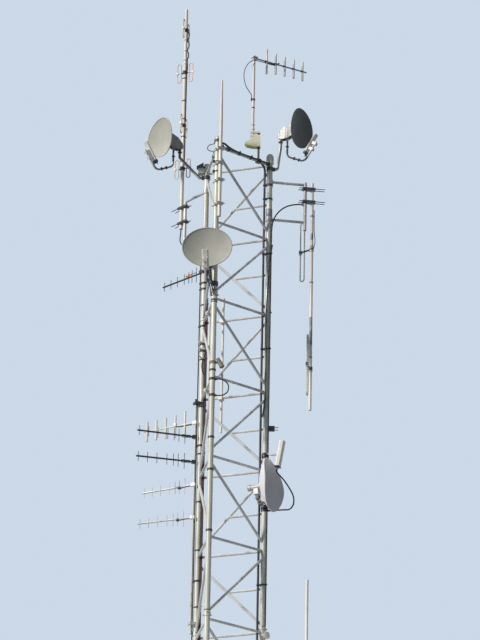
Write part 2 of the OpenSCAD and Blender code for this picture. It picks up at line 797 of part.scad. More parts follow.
module feed_arms() {
    color(steel) {
        for (i = [0 : 2]) at_dish(i) bent_bar(small_arm_route, feed_arm_d, 70);
        on_axis() translate(leg_xy(RIGHT)) {
            bent_bar(radio_arm_route, feed_arm_d, 30);
            translate([0, 0, radio_arm_z]) ring(38, leg_d + 20, leg_d + 2 * fit_gap);
        }
    }
}

module radio_body(l, w, t) {
    rotate([0, 90, 0]) linear_extrude(l, center = true) rounded(t, w, 14);
}

module small_radio() {
    translate([radio_at.x, 0, radio_at.y]) rotate([0, -radio_lean, 0]) {
        radio_body(radio_l, radio_w, radio_t);
        for (x = [-70, 10]) difference() {
            translate([x, -26, -arm_gap - feed_arm_d / 2 - 10])
                cube([34, 52, arm_gap + feed_arm_d / 2 + 10 - radio_t / 2 + 1]);
            translate([x - 1, 0, -arm_gap]) rotate([0, 90, 0])
                cylinder(h = 36, d = feed_arm_d + 2 * fit_gap, $fn = curve_fn);
        }
    }
}

// The large radio's axis leans a little, and its cable enters from below
module big_radio() {
    rotate([0, big_radio_lean - 90, 0]) {
        radio_body(big_radio_l, big_radio_w, big_radio_t);
        translate([-big_radio_l / 2 - 20, 0, 0]) rotate([0, 90, 0]) cylinder(h = 30, d = 24, $fn = curve_fn);
    }
}

// A pipe leaves a socket on the leg, climbs outwards and ends upright in its dish's bracket
pipe_foot = leg_d / 2 + 10;
function pipe_route(i) =
    let (off = dish_pipe_offset[i], out = unit(off), lift = dish_z[i] - dish_foot_z[i])
    [at_z(out * pipe_foot, 0), at_z(out * (leg_d / 2 + 60), 0),
     at_z(off, max(lift - 230, 40)), at_z(off, lift - 50)];

module at_dish_foot(i) {
    on_axis() translate(at_z(leg_xy(dish_leg[i]), dish_foot_z[i])) children();
}

module dish_pipes() {
    color(steel) for (i = [0 : 3]) at_dish_foot(i) bent_bar(pipe_route(i), pipe_d, 30);
}

module dish_pipe_clamps() {
    color(dark_steel) for (i = [0 : 3]) {
        off = dish_pipe_offset[i];
        at_dish_foot(i) rotate(atan2(off.y, off.x)) difference() {
            union() {
                cylinder(h = 46, d = leg_d + 20, center = true, $fn = curve_fn);
                rotate([0, 90, 0]) cylinder(h = leg_d / 2 + 30, d = pipe_d + 14, $fn = curve_fn);
            }
            cylinder(h = 60, d = leg_d + 2 * fit_gap, center = true, $fn = curve_fn);
            translate([pipe_foot - fit_gap, 0, 0]) rotate([0, 90, 0])
                cylinder(h = 60, d = pipe_d + 2 * fit_gap, $fn = curve_fn);
        }
    }
}

module small_reflectors() {
    reach = max(dish_w, dish_h) / 2;
    color(dish_grey) for (i = [0 : 2]) at_dish(i) reflector(dish_w, dish_h, dish_lean) {
        shell(0, rim_t, reach);
        shell(dish_wall, rim_t + 5, reach);
    }
}

module small_brackets() {
    color(steel) for (i = [0 : 2]) at_dish(i) small_bracket();
}

module small_radios() {
    color(fibreglass) for (i = [0 : 2]) at_dish(i) small_radio();
}

module large_reflector() {
    color(fibreglass) at_dish(3) reflector(big_dish_w, big_dish_h, big_lean) {
        ring_shell(0, rim_t, big_dish_w / 2);
        ring_shell(dish_wall, rim_t + 5, big_dish_w / 2);
    }
}

module large_bracket() {
    color(steel) at_dish(3) big_bracket();
}

module large_radio() {
    color(fibreglass) on_axis() translate(at_z(leg_xy(RIGHT) + big_radio_off, big_radio_z))
        rotate(big_radio_heading) big_radio();
}

// Clamp block that grips a horizontal along x and the upright rod beside it
module bar_clamp(rod) {
    reach = (brace_d + rod) / 2 + fit_gap;
    difference() {
        translate([-rod / 2 - 12, -brace_d / 2 - 8, -brace_d / 2 - 7])
            cube([rod + 24, reach + brace_d / 2 + rod / 2 + 14, brace_d + 14]);
        rotate([0, 90, 0]) cylinder(h = rod + 60, d = brace_d + 2 * fit_gap, center = true, $fn = curve_fn);
    }
}

// One whip stands behind the rear face and a shorter one inside the left face
inner_whip_d = 30;
inner_rod_d = 22;
inner_whip_x = -174;
inner_rod_along = 0.6;

module inner_whips() {
    whip_y = leg_xy(RIGHT).y + (brace_d + inner_whip_d) / 2 + fit_gap;
    color(fibreglass) on_axis() {
        translate([inner_whip_x, whip_y, below(3, 445)]) {
            cylinder(h = 1660, d = inner_whip_d, $fn = curve_fn);
            translate([0, 0, 1660]) cylinder(h = 120, d = inner_whip_d + 6, $fn = curve_fn);
        }
        for (level = [2, 3])
            translate([inner_whip_x, leg_xy(RIGHT).y, below(level, 0)]) bar_clamp(inner_whip_d);
        foot = leg_xy(FRONT) + (leg_xy(LEFT) - leg_xy(FRONT)) * inner_rod_along;
        inward = heading(30) * ((brace_d + inner_rod_d) / 2 + fit_gap);
        translate(at_z(foot + inward, below(3, 45)))
            cylinder(h = bay_h + 110, d = inner_rod_d, $fn = curve_fn);
        for (level = [2, 3]) translate(at_z(foot, below(level, 0))) rotate(-60) bar_clamp(inner_rod_d);
    }
}

// Whip on two arms beside the right leg
lower_whip_reach = 525;
lower_whip_d = 36;
lower_whip_heading = 20.9;
lower_arm_heights = [below(6, 450), below(6, 815)];

module lower_whip() {
    low = lower_arm_heights[1] - 80;
    xy = leg_xy(RIGHT) + lower_whip_reach * heading(lower_whip_heading);
    color(fibreglass) on_axis() translate(at_z(xy, low)) {
        cylinder(h = 560, d = lower_whip_d + 8, $fn = curve_fn);
        translate([0, 0, 560]) cylinder(h = below(5, 350) - low - 560, d = lower_whip_d, $fn = curve_fn);
    }
}

module lower_whip_arms() {
    bore = lower_whip_d + 8 + 2 * fit_gap;
    color(steel) on_axis() for (z = lower_arm_heights)
        translate(at_z(leg_xy(RIGHT), z)) rotate(lower_whip_heading) difference() {
            union() {
                cylinder(h = 50, d = leg_d + 16, center = true, $fn = curve_fn);
                bar([leg_d / 2, 0, 0], [lower_whip_reach - bore / 2 - 4, 0, 0], array_arm_d);
                translate([lower_whip_reach, 0, 0])
                    cylinder(h = 44, d = bore + 16, center = true, $fn = curve_fn);
            }
            cylinder(h = 52, d = leg_d + 2 * fit_gap, center = true, $fn = curve_fn);
            translate([lower_whip_reach, 0, 0]) cylinder(h = 46, d = bore, center = true, $fn = curve_fn);
        }
}

// Hooded box beside the left leg's top
module corner_box() {
    color(dark_steel) on_axis() translate(at_z(leg_xy(LEFT), below(0, -50))) rotate(201) {
        difference() {
            union() {
                translate([leg_d / 2 - 10, -35, -45]) cube([20, 70, 90]);
                cylinder(h = 26, d = leg_d + 14, center = true, $fn = curve_fn);
                rotate([90, 0, 0]) translate([0, 0, -48]) linear_extrude(96)
                    polygon([[44, -55], [112, -55], [112, 34], [128, 30], [132, 40], [44, 92]]);
            }
            cylinder(h = 220, d = leg_d + 2 * fit_gap, center = true, $fn = curve_fn);
        }
    }
}

// Small box with two prongs on the right leg, and a canister beside the front leg
instrument_heading = 20.9;
instrument_z = below(3, strut_drop(3) - 8);
canister_off = 86;
canister_h = 120;
canister_d = 66;
canister_z = below(3, -175);

module leg_instruments() {
    color(black_plastic) on_axis() {
        translate(at_z(leg_xy(RIGHT), instrument_z)) rotate(instrument_heading) {
            difference() {
                translate([0, -26, -20]) cube([leg_d / 2 + 12, 52, 40]);
                cylinder(h = 42, d = leg_d + 2 * fit_gap, center = true, $fn = curve_fn);
            }
            translate([leg_d / 2 + 4, -22, -30]) cube([70, 44, 60]);
            for (z = [-16, 16]) translate([leg_d / 2 + 70, 0, z]) rotate([0, 90, 0])
                cylinder(h = 48, d = 8, $fn = curve_fn);
        }
        // The canister hangs askew on its collar
        translate(at_z(leg_xy(FRONT), canister_z)) rotate(instrument_heading) {
            translate([canister_off, 0, 0]) rotate([0, -28, 0]) translate([0, 0, -canister_h / 2]) {
                cylinder(h = canister_h, d1 = canister_d, d2 = canister_d - 22, $fn = curve_fn);
                translate([0, 0, -12]) cylinder(h = 12, d1 = canister_d - 20, d2 = canister_d, $fn = curve_fn);
            }
            ring(30, leg_d + 14, leg_d + 2 * fit_gap);
            translate([leg_d / 2 + 4, -10, -10]) cube([canister_off - leg_d / 2 - 4, 20, 20]);
        }
    }
}

// Cables that the legs carry all the way down, and the bands that hold them
// Each is a leg, an offset from its centre, a diameter and the heights of its ends
feeders = [[RIGHT, [-55.5, -32], 28, 300, below(0, 150)], [RIGHT, [45, -26.1], 14, 1200, below(1, 40)],
           [LEFT, [-52, -4.1], 16, 300, below(0, 1000)]];
band_t = 6;
right_bands = [below(0, 280), below(0, strut_drop(0) - 78)];
twin_bands = [below(1, 200), below(2, strut_drop(2) - 94),
              below(4, strut_drop(4) - 134), below(5, strut_drop(5) - 46)];
front_bands = [below(2, 944), below(3, 790), below(4, 180), below(4, 948)];
left_bands = [below(1, 480), below(1, 560), below(2, 40), below(3, 600), below(5, 300)];

module band(held) {
    difference() {
        union() {
            cylinder(h = 22, d = leg_d + 2 * band_t, center = true, $fn = curve_fn);
            for (f = held) rotate(atan2(f[1].y, f[1].x)) translate([leg_d / 2 + 3, -f[2] / 2 - 4, -9])
                cube([norm(f[1]) + f[2] / 2 + 1 - leg_d / 2, f[2] + 8, 18]);
        }
        cylinder(h = 24, d = leg_d + 2 * fit_gap, center = true, $fn = curve_fn);
        for (f = held) translate([f[1].x, f[1].y, 0])
            cylinder(h = 24, d = f[2] + 2 * fit_gap, center = true, $fn = curve_fn);
    }
}

// A gland's end stands just off the end of the cord that enters it
module gland(from, to, d) {
    bar(from, to - gland_gap * unit(to - from), d);
}

// One more cable is strapped to the outer side of the right face's top horizontal
strap_d = 20;
strap_off = 36;
strap_ends = [62, 790];
strap_ties = [160, 330, 520];

module on_top_bar(x) {
    on_axis() translate(at_z(leg_xy(FRONT), top_z)) rotate(60) translate([x, 0, 0]) children();
}

// Block beside the horizontal that carries the strapped cable
module strap_block(w) {
    depth = strap_off + strap_d / 2 + 5;
    difference() {
        translate([-w / 2, -depth, -brace_d / 2 - 5]) cube([w, depth, brace_d + 10]);
        rotate([0, 90, 0]) cylinder(h = w + 2, d = brace_d + 2 * fit_gap, center = true, $fn = curve_fn);
    }
}

module strap_tie() {
    difference() {
        strap_block(14);
        translate([0, -strap_off, 0]) rotate([0, 90, 0])
            cylinder(h = 16, d = strap_d + 2 * fit_gap, center = true, $fn = curve_fn);
    }
}

module cable_clamps() {
    color(dark_steel) {
        on_top_bar(strap_ends[0] - 10 - fit_gap) strap_block(20);
        on_top_bar(strap_ends[1] + 10 + fit_gap) strap_block(20);
        for (x = strap_ties) on_top_bar(x) strap_tie();
        on_axis() {
            for (z = right_bands) translate(at_z(leg_xy(RIGHT), z)) band([feeders[0]]);
            for (z = twin_bands) translate(at_z(leg_xy(RIGHT), z)) band([feeders[0], feeders[1]]);
            for (z = left_bands) translate(at_z(leg_xy(LEFT), z)) band([feeders[2]]);
            for (z = front_bands) translate(at_z(leg_xy(FRONT), z)) band([]);
        }
        // Glands on the legs where cords enter
        for (g = [[RIGHT, last(large_dish_points)], [FRONT, inner_loop_points[0]],
                  [FRONT, last(inner_loop_points)]]) {
            foot = leg_xy(g[0]) + [0, leg_r];
            out = unit([g[1].x, g[1].y] - foot);
            gland(at_z(foot + out * (leg_d / 2 + 3), g[1].z), g[1], 24);
            translate(at_z(foot, g[1].z)) ring(28, leg_d + 2 * band_t, leg_d + 2 * fit_gap);
        }
        // Clip on the left face's top horizontal
        clip = last(leg_top_points);
        gland(at_z([clip.x, clip.y], top_z + brace_d / 2 + 2), clip, 16);
        translate(at_z([clip.x, clip.y], top_z)) rotate(120) rotate([0, 90, 0])
            ring(20, brace_d + 12, brace_d + 2 * fit_gap);
        // Clip on the top yagi's mast
        tie = last(top_yagi_points);
        gland(tie - [0, 0, 45], tie, 16);
        on_axis() translate(at_z(top_mast_xy, tie.z - 25))
            ring(22, top_mast_d + 12, top_mast_d + 2 * fit_gap);
    }
}

module leg_feeders() {
    color(black_plastic) {
        on_axis() for (f = feeders)
            translate(at_z(leg_xy(f[0]) + f[1], f[3])) cylinder(h = f[4] - f[3], d = f[2], $fn = curve_fn);
        on_top_bar(strap_ends[0]) translate([0, -strap_off, 0]) rotate([0, 90, 0])
            cylinder(h = strap_ends[1] - strap_ends[0], d = strap_d, $fn = curve_fn);
    }
}

// Loose cables, by the points that they pass through, measured from the origin
top_face_points = [[28, 58, 7325], [42, 87, 7325], [56, 116, 7325], [75, 180, 7312], [120, 290, 7300],
                   [190, 415, 7292], [262, 545, 7288], [325, 635, 7268], [360, 687, 7222], [369.5, 704, 7170],
                   [369.5, 704, 7135], [369.5, 704, 7100]];
leg_top_points = [[-55, 44, 7325], [-80, 64, 7325], [-120, 92, 7338], [-165, 120, 7340], [-196, 155, 7325],
                  [-198, 200, 7315], [-180, 238, 7318], [-155, 257, 7308], [-150, 260, 7280]];
top_yagi_points = [[499, 791, 8690], [516, 778, 8688], [497, 746, 8668], [450, 702, 8652], [388, 638, 8645],
                   [315, 568, 8650], [262, 511, 8640], [212, 482, 8600], [170, 473, 8530], [150, 478, 8450],
                   [153, 489, 8370], [172, 500, 8290], [205, 515, 8225], [235, 531, 8170], [236, 531, 8130]];
right_array_points = [[796, 940, 6740], [773, 916, 6740], [715, 872, 6728], [632, 830, 6700],
                      [560, 787, 6640], [505, 748, 6550], [478, 720, 6440], [470, 710, 6330],
                      [470, 710, 6260], [470, 710, 6190]];
left_array_points = [[-862, 989, 6655], [-862, 985, 6590], [-855, 950, 6490], [-815, 905, 6410],
                     [-745, 868, 6370], [-670, 828, 6352], [-590, 788, 6350], [-520, 755, 6345],
                     [-480, 733, 6320], [-477, 732, 6285], [-477, 732, 6250.5]];
large_dish_points = [[688.3, 447.4, 3074.5], [683, 447, 3045], [700, 455, 3012], [755, 495, 2945],
                     [800, 575, 2860],
                     [825, 650, 2780], [808, 705, 2700], [745, 745, 2655], [660, 764, 2662], [580, 755, 2662],
                     [500, 745, 2662]];
inner_loop_points = [[55, 20, 4150], [95, 35, 4150], [145, 53, 4125], [178, 65, 4085], [185, 68, 4030],
                     [168, 62, 3980], [130, 48, 3950], [95, 35, 3940], [55, 20, 3940]];

module cord(points, d) {
    color(black_plastic) sweep(curved_route(points, 2), d, 8);
}

module top_face_cord() {
    cord(top_face_points, 28);
}

module leg_top_cord() {
    cord(leg_top_points, 10);
}

module top_yagi_cord() {
    cord(top_yagi_points, 10);
}

module right_array_cord() {
    cord(right_array_points, 18);
}

module left_array_cord() {
    cord(left_array_points, 16);
}

module large_dish_cord() {
    cord(large_dish_points, 18);
}

module inner_loop_cord() {
    cord(inner_loop_points, 16);
}

legs_top_section();
legs_middle_section();
legs_base_section();
bracing_left_face();
bracing_rear_face();
bracing_right_face();
left_array_mast();
left_array_dipoles();
left_array_bracket();
right_array_mast();
right_array_dipoles();
right_array_bracket();
main_whip();
main_whip_clamps();
top_yagi_mast();
top_yagi();
top_yagi_bracket();
top_yagi_post();
small_reflectors();
small_brackets();
small_radios();
large_reflector();
large_bracket();
large_radio();
feed_arms();
dish_pipes();
dish_pipe_clamps();
left_yagi_pipe();
black_yagis();
steel_yagis();
thick_yagi();
inner_whips();
lower_whip();
lower_whip_arms();
corner_box();
leg_instruments();
cable_clamps();
leg_feeders();
top_face_cord();
leg_top_cord();
top_yagi_cord();
right_array_cord();
left_array_cord();
large_dish_cord();
inner_loop_cord();
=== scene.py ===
# %% [markdown]
# # A three-legged radio mast
# The mast is a lattice of galvanised tube that carries dishes, yagis, dipole arrays and whips. Its solids
# were made to size in a CAD program, and here they get their finishes and small fittings. The first step
# loads them. They stay where they are, and everything new is placed round them.

# %% Load the solids
import math
import bmesh
import bpy
from mathutils import Matrix, Vector


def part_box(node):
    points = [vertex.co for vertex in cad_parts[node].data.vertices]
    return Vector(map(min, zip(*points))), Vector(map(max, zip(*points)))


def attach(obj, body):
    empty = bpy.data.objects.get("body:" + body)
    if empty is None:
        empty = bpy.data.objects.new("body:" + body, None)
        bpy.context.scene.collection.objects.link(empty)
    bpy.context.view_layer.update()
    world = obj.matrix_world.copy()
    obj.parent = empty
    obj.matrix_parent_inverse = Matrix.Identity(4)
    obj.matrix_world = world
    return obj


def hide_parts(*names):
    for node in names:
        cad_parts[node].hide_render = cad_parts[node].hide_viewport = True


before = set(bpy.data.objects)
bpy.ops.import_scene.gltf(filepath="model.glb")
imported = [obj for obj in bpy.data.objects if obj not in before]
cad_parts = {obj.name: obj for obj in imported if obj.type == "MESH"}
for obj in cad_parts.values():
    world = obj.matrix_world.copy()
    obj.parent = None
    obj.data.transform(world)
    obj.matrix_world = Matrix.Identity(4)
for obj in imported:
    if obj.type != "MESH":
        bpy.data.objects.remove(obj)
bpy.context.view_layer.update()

# %% [markdown]
# ## The viewpoint
# The photograph was taken from the ground with a long lens, so the camera is far off and low.
# The long lens could be faked with a near camera and a wide view, but then the legs would lean together.
# The camera's place and turn were solved from the lattice's corners, and they are written as three angles.

# %% Camera
azimuth, elevation, roll = (math.radians(degrees) for degrees in (20.89, -22.08, 1.11))
back = Vector((math.sin(azimuth) * math.cos(elevation), -math.cos(azimuth) * math.cos(elevation),
               math.sin(elevation)))
level = (-back).cross(Vector((0, 0, 1))).normalized()
over = level.cross(-back)
right = math.cos(roll) * level + math.sin(roll) * over
up = math.cos(roll) * over - math.sin(roll) * level
CAMERA_PLACE, FOCAL_LENGTH = (14.1875, -36.2752, -10.872), 194.0625


def linked(name, data):
    """A new object in the scene."""
    made = bpy.data.objects.new(name, data)
    bpy.context.collection.objects.link(made)
    return made


lens = bpy.data.cameras.new("camera")
lens.sensor_width, lens.lens, lens.clip_end = 36, FOCAL_LENGTH, 200
camera = linked("camera", lens)
camera.matrix_world = Matrix.Translation(CAMERA_PLACE) @ Matrix((right, up, back)).transposed().to_4x4()
bpy.context.scene.camera = camera
print("camera at", [round(x, 2) for x in camera.matrix_world.translation])

# %% [markdown]
# ## Sizes that the pieces share
# The legs stand on the corners of a triangle, and the front leg's foot is the origin.
# A maker sets such a mast out from its legs and its levels, so the same few values are named once here.
# Two directions help to place trim: towards the camera, and to the right in the picture.

# %% Setting out
FRONT, RIGHT, LEFT = Vector((0, 0)), Vector((0.425, 0.73612)), Vector((-0.425, 0.73612))
TOP, BAY, BAYS = 7.25, 1.02, 7


def below(level_number, drop):
    return TOP - level_number * BAY - drop


def heading(degrees):
    return Vector((math.cos(math.radians(degrees)), math.sin(math.radians(degrees))))


def at(xy, z):
    return Vector((xy[0], xy[1], z))


def placed(xy, z, turn):
    return Matrix.Translation(at(xy, z)) @ Matrix.Rotation(math.radians(turn), 4, "Z")


NEARER, RIGHTWARD = heading(-69.1), heading(20.9)
print("levels at", [round(below(n, 0), 2) for n in range(BAYS + 1)])

# %% [markdown]
# ## Smooth routes
# A cable bends evenly, so its line has no corners. A few points say where it passes, and a smooth curve goes
# through them. A Bezier curve would need handles too, which the solids' points don't have.

# %% Curves through points


def curved(points, steps=4):
    route = []
    for i in range(len(points) - 1):
        a, b = Vector(points[max(i - 1, 0)]), Vector(points[i])
        c, d = Vector(points[i + 1]), Vector(points[min(i + 2, len(points) - 1)])
        for k in range(steps):
            t = k / steps
            route.append((2 * b + (c - a) * t + (2 * a - 5 * b + 4 * c - d) * t * t
                          + (3 * b - a - 3 * c + d) * t * t * t) / 2)
    return route + [Vector(points[-1])]


def route_length(route):
    return sum((b - a).length for a, b in zip(route, route[1:]))


print("a bend through three points has", len(curved([(0, 0, 0), (1, 0, 0), (1, 1, 0)])), "places")

# %% [markdown]
# ## Shader sums
# A finish is a sum of patterns: stains, grain, streaks. Written with nodes alone, such sums are hard to read.
# A small class wraps a node's output, so that adding or multiplying two patterns adds the Math node.

# %% A wrapper for a shader value


class Pattern:
    """The output of a node, which can be added, subtracted and multiplied."""

    def __init__(self, nodes, socket):
        self.nodes, self.socket = nodes, socket

    def sum_of(self, operation, a, b):
        return self.nodes.node("Math", {"operation": operation}, {0: a, 1: b})

    def __add__(self, other):
        return self.sum_of("ADD", self, other)

    def __sub__(self, other):
        return self.sum_of("SUBTRACT", self, other)

    def __rsub__(self, other):
        return self.sum_of("SUBTRACT", other, self)

    def __mul__(self, other):
        return self.sum_of("MULTIPLY", self, other)


print("a pattern can be used with + - *")

# %% [markdown]
# ## One method for every node
# By hand, nodes are added and joined in the shader editor. Here one method does both for any kind of node, so
# that the materials and the sky are all written alike.

# %% A tree of nodes


class Nodes:
    """The nodes of a material or of the sky."""

    def __init__(self, owner):
        owner.use_nodes = True
        self.tree = owner.node_tree
        self.tree.nodes.clear()

    def node(self, kind, settings=None, values=None, output=0):
        made = self.tree.nodes.new("ShaderNode" + kind)
        for name, setting in (settings or {}).items():
            setattr(made, name, setting)
        for key, value in (values or {}).items():
            if isinstance(value, Pattern):
                self.tree.links.new(value.socket, made.inputs[key])
            else:
                made.inputs[key].default_value = value
        return Pattern(self, made.outputs[output]) if made.outputs else None


print("a node tree starts empty")

# %% [markdown]
# ## Patterns in a finish
# Stains, runs and grain are all clouds of noise of some size and stretch. A picture would show a seam where
# it closes round a tube, so every pattern is worked out from the place on the piece, in metres.

# %% A material under construction


class Finish(Nodes):
    """A material under construction. Its patterns read the piece's own coordinates."""

    def __init__(self, name):
        self.material = bpy.data.materials.new(name)
        super().__init__(self.material)
        self.place = self.node("TexCoord", output="Object")

    def scaled(self, x, y, z):
        return self.node("Mapping", None, {"Vector": self.place, "Scale": (x, y, z)})

    def noise(self, size, stretch=1.0, detail=4.0, rough=0.55):
        """Clouds about size metres across, and stretch times as tall."""
        grid = self.scaled(1 / size, 1 / size, 1 / (size * stretch))
        values = {"Vector": grid, "Scale": 1.0, "Detail": detail, "Roughness": rough}
        return self.node("TexNoise", None, values)

    def cells(self, size):
        """Crystals about size metres across, each with its own value."""
        values = {"Vector": self.scaled(*[1 / size] * 3), "Scale": 1.0}
        colour = self.node("TexVoronoi", None, values, "Color")
        return self.node("SeparateColor", None, {"Color": colour}, "Red")

    def between(self, value, low, high):
        """0 below low, 1 above high and even between."""
        return self.node("MapRange", {"clamp": True}, {"Value": value, "From Min": low, "From Max": high})

    def colour(self, value):
        return value if isinstance(value, Pattern) else (*value, 1)

    def mix(self, mask, first, second):
        colours = {0: mask, 6: self.colour(first), 7: self.colour(second)}
        return self.node("Mix", {"data_type": "RGBA"}, colours, 2)

    def part(self, vector, axis):
        return self.node("SeparateXYZ", None, {"Vector": vector}, axis)

    def height(self):
        return self.part(self.place, "Z")

    def facing(self, axis):
        """How far a face looks along an axis, from -1 to 1."""
        return self.part(self.node("NewGeometry", output="Normal"), axis)

    def band(self, low, high, soft=0.002):
        """1 between two heights, with edges soft metres wide."""
        inside = self.between(self.height(), low - soft, low)
        return inside * (1 - self.between(self.height(), high, high + soft))

    def done(self, colour, roughness, bump, depth, metallic=0.0, specular=0.5):
        """The material, with a bump that is depth metres deep."""
        normal = self.node("Bump", None, {"Height": bump, "Distance": depth, "Strength": 1.0})
        values = {"Base Color": self.colour(colour), "Roughness": roughness, "Metallic": metallic,
                  "Specular IOR Level": specular, "Normal": normal}
        self.node("OutputMaterial", None, {"Surface": self.node("BsdfPrincipled", None, values)})
        print("finish:", self.material.name, "with", len(self.tree.nodes), "nodes")
        return self.material


print("a finish can hold clouds, crystals and bands")

# %% [markdown]
# ## Weathered zinc
# The legs and bars are dip-galvanised tube. New zinc shows bright crystals, and years outside turn it to a
# pale grey with a creamy film, darker runs and spots of rust where bars are welded in. A photograph of zinc
# could be wrapped on, but noise needs no picture and has no seams.

# %% Zinc for legs and bars
RUST, BLACK_PAINT = (0.20, 0.085, 0.035), (0.018, 0.018, 0.024)


def zinc(name, pale, dull, rusting, metal, black=(), joints=False):
    """Old zinc, black between the heights in black, and with joints rustier near the levels."""
    f = Finish(name)
    film = f.between(f.noise(0.22, 3.0), 0.35, 0.65)
    runs = f.between(f.noise(0.03, 14.0, 3.0), 0.45, 0.75)
    crystals = f.cells(0.014)
    colour = f.mix(film, pale, dull)
    colour = f.mix(runs * 0.45, colour, [c * share for c, share in zip(dull, (0.66, 0.57, 0.52))])
    colour = f.mix(crystals * 0.16, colour, [min(1, c * 1.35) for c in pale])
    spots = f.between(f.noise(0.035, 1.6, 6.0, 0.7), 0.60 - 0.03 * rusting, 0.70)
    if joints:
        above_foot = f.height() - below(BAYS, 0)
        off_level = f.node("Math", {"operation": "PINGPONG"}, {0: above_foot, 1: BAY / 2})
        near = 1 - f.between(off_level, 0.03, 0.22)
        spots = spots * (near * 0.8 + 0.12)
    spots = spots * rusting
    colour = f.mix(spots, colour, RUST)
    for low, high in black:
        colour = f.mix(f.band(low, high) * 0.93, colour, BLACK_PAINT)
    rough = f.between(runs * 0.5 + spots * 0.5 + crystals * 0.2, -0.6, 1.4)
    bump = f.noise(0.004, 1.0, 2.0) * 0.5 + crystals * 0.15 + spots
    return f.done(colour, rough, bump, 0.0004, metal)


leg_zinc = zinc("leg_zinc", (0.78, 0.79, 0.68), (0.61, 0.61, 0.53), 0.6, 0.06, joints=True)
brace_zinc = zinc("brace_zinc", (0.85, 0.85, 0.83), (0.61, 0.61, 0.60), 0.6, 0.06, joints=True)

# %% [markdown]
# Brackets, pipes and clamps are zinc too, but duller, and black at some heights where they are gripped.
# One recipe with other colours does for all, so that they look like one metal under one weather.

# %% Zinc for brackets, pipes and fittings
BRACKET = ((0.70, 0.69, 0.67), (0.46, 0.45, 0.44), 0.9, 0.15)
bracket_zinc = zinc("bracket_zinc", *BRACKET)
left_bracket_zinc = zinc("left_bracket_zinc", *BRACKET, [(6.920, 6.960), (6.710, 6.750)])
right_bracket_zinc = zinc("right_bracket_zinc", *BRACKET, [(6.945, 6.985), (6.770, 6.810)])
dipole_zinc = zinc("dipole_zinc", (0.74, 0.72, 0.68), (0.52, 0.49, 0.46), 0.8, 0.1,
                   [(6.134, 6.166), (4.525, 4.565)])
cap_zinc = zinc("cap_zinc", (0.80, 0.78, 0.74), (0.60, 0.57, 0.53), 0.9, 0.05)
cup_zinc = zinc("cup_zinc", (0.35, 0.36, 0.35), (0.26, 0.26, 0.25), 0.5, 0.05)
yagi_pipe_zinc = zinc("yagi_pipe_zinc", (0.72, 0.72, 0.66), (0.50, 0.50, 0.46), 0.7, 0.1, [(4.110, 4.190)])
radio_arm_zinc = zinc("radio_arm_zinc", *BRACKET, [(3.330, 3.400)])
whip_clamp_zinc = zinc("whip_clamp_zinc", (0.74, 0.73, 0.70), (0.52, 0.51, 0.49), 0.8, 0.1, [(7.280, 7.420)])
fitting_zinc = zinc("fitting_zinc", (0.52, 0.51, 0.49), (0.30, 0.29, 0.28), 1.0, 0.4)

# %% [markdown]
# ## Weathered fibreglass
# Whips and array masts are glass fibre under a warm, off-white paint. The sun chalks it, fibres show as
# fine upright lines, and it browns a little where water stands. A plain cream would look like plastic.

# %% Paint on fibreglass


def fibre_paint(name, cream, worn, stain=(0.42, 0.27, 0.20)):
    f = Finish(name)
    chalk = f.between(f.noise(0.16, 4.0), 0.38, 0.68)
    fibres = f.noise(0.0025, 60.0, 3.0)
    scuffs = f.between(f.noise(0.05, 2.0, 6.0, 0.7), 0.58, 0.72)
    colour = f.mix(chalk, cream, worn)
    colour = f.mix(fibres * 0.12, colour, [c * 0.75 for c in worn])
    colour = f.mix(scuffs * 0.4, colour, stain)
    rough = f.between(chalk + scuffs * 0.4, -0.9, 2.0)
    return f, colour, rough, fibres * 0.3 + f.noise(0.006, 1.0, 2.0)


f, colour, rough, bump = fibre_paint("mast_paint", (0.96, 0.91, 0.82), (0.89, 0.81, 0.72))
mast_paint = f.done(colour, rough, bump, 0.0002)

# %% [markdown]
# The top yagi's boom is dark between pale rods, and the right array's mast has two grey, blotchy lengths.
# Both are single solids with one slot, so bands between two heights carry the second colour.

# %% Paint with dark bands
f, colour, rough, bump = fibre_paint("top_yagi_paint", (0.93, 0.91, 0.87), (0.83, 0.80, 0.76))
boom = f.mix(f.band(8.680, 8.700) * 0.9, colour, (0.20, 0.19, 0.19))
top_yagi_paint = f.done(boom, rough, bump, 0.0002)

f, colour, rough, bump = fibre_paint("banded_paint", (0.96, 0.90, 0.82), (0.88, 0.79, 0.71))
for low, high in ((6.285, 6.354), (4.871, 5.222)):
    blotches = f.band(low, high, 0.02) * f.between(f.noise(0.03, 3.0), 0.2, 0.5)
    colour = f.mix(blotches, colour, (0.22, 0.23, 0.23))
banded_paint = f.done(colour, rough, bump, 0.0002)

# %% [markdown]
# The folded bracket under the top yagi has the same paint, and its lower edge is painted yellow-green as
# painted shade with a reflected tint. It follows the height and is broken up by clouds.
# That is algae, which grows where rain stands, so it follows the height and is broken up by clouds.

# %% Bracket paint with painted shade on its lower edge
f, colour, rough, bump = fibre_paint("bracket_paint", (0.97, 0.94, 0.82), (0.86, 0.79, 0.64))
# Painted shade with a reflected yellow-green tint, below a height on the bracket's lower edge.
painted_shade_edge = (1 - f.between(f.height(), 7.452, 7.50)) * f.between(f.noise(0.05, 1.0), 0.2, 0.5)
bracket_paint = f.done(f.mix(painted_shade_edge * 0.85, colour, (0.40, 0.42, 0.10)), rough, bump, 0.0003)
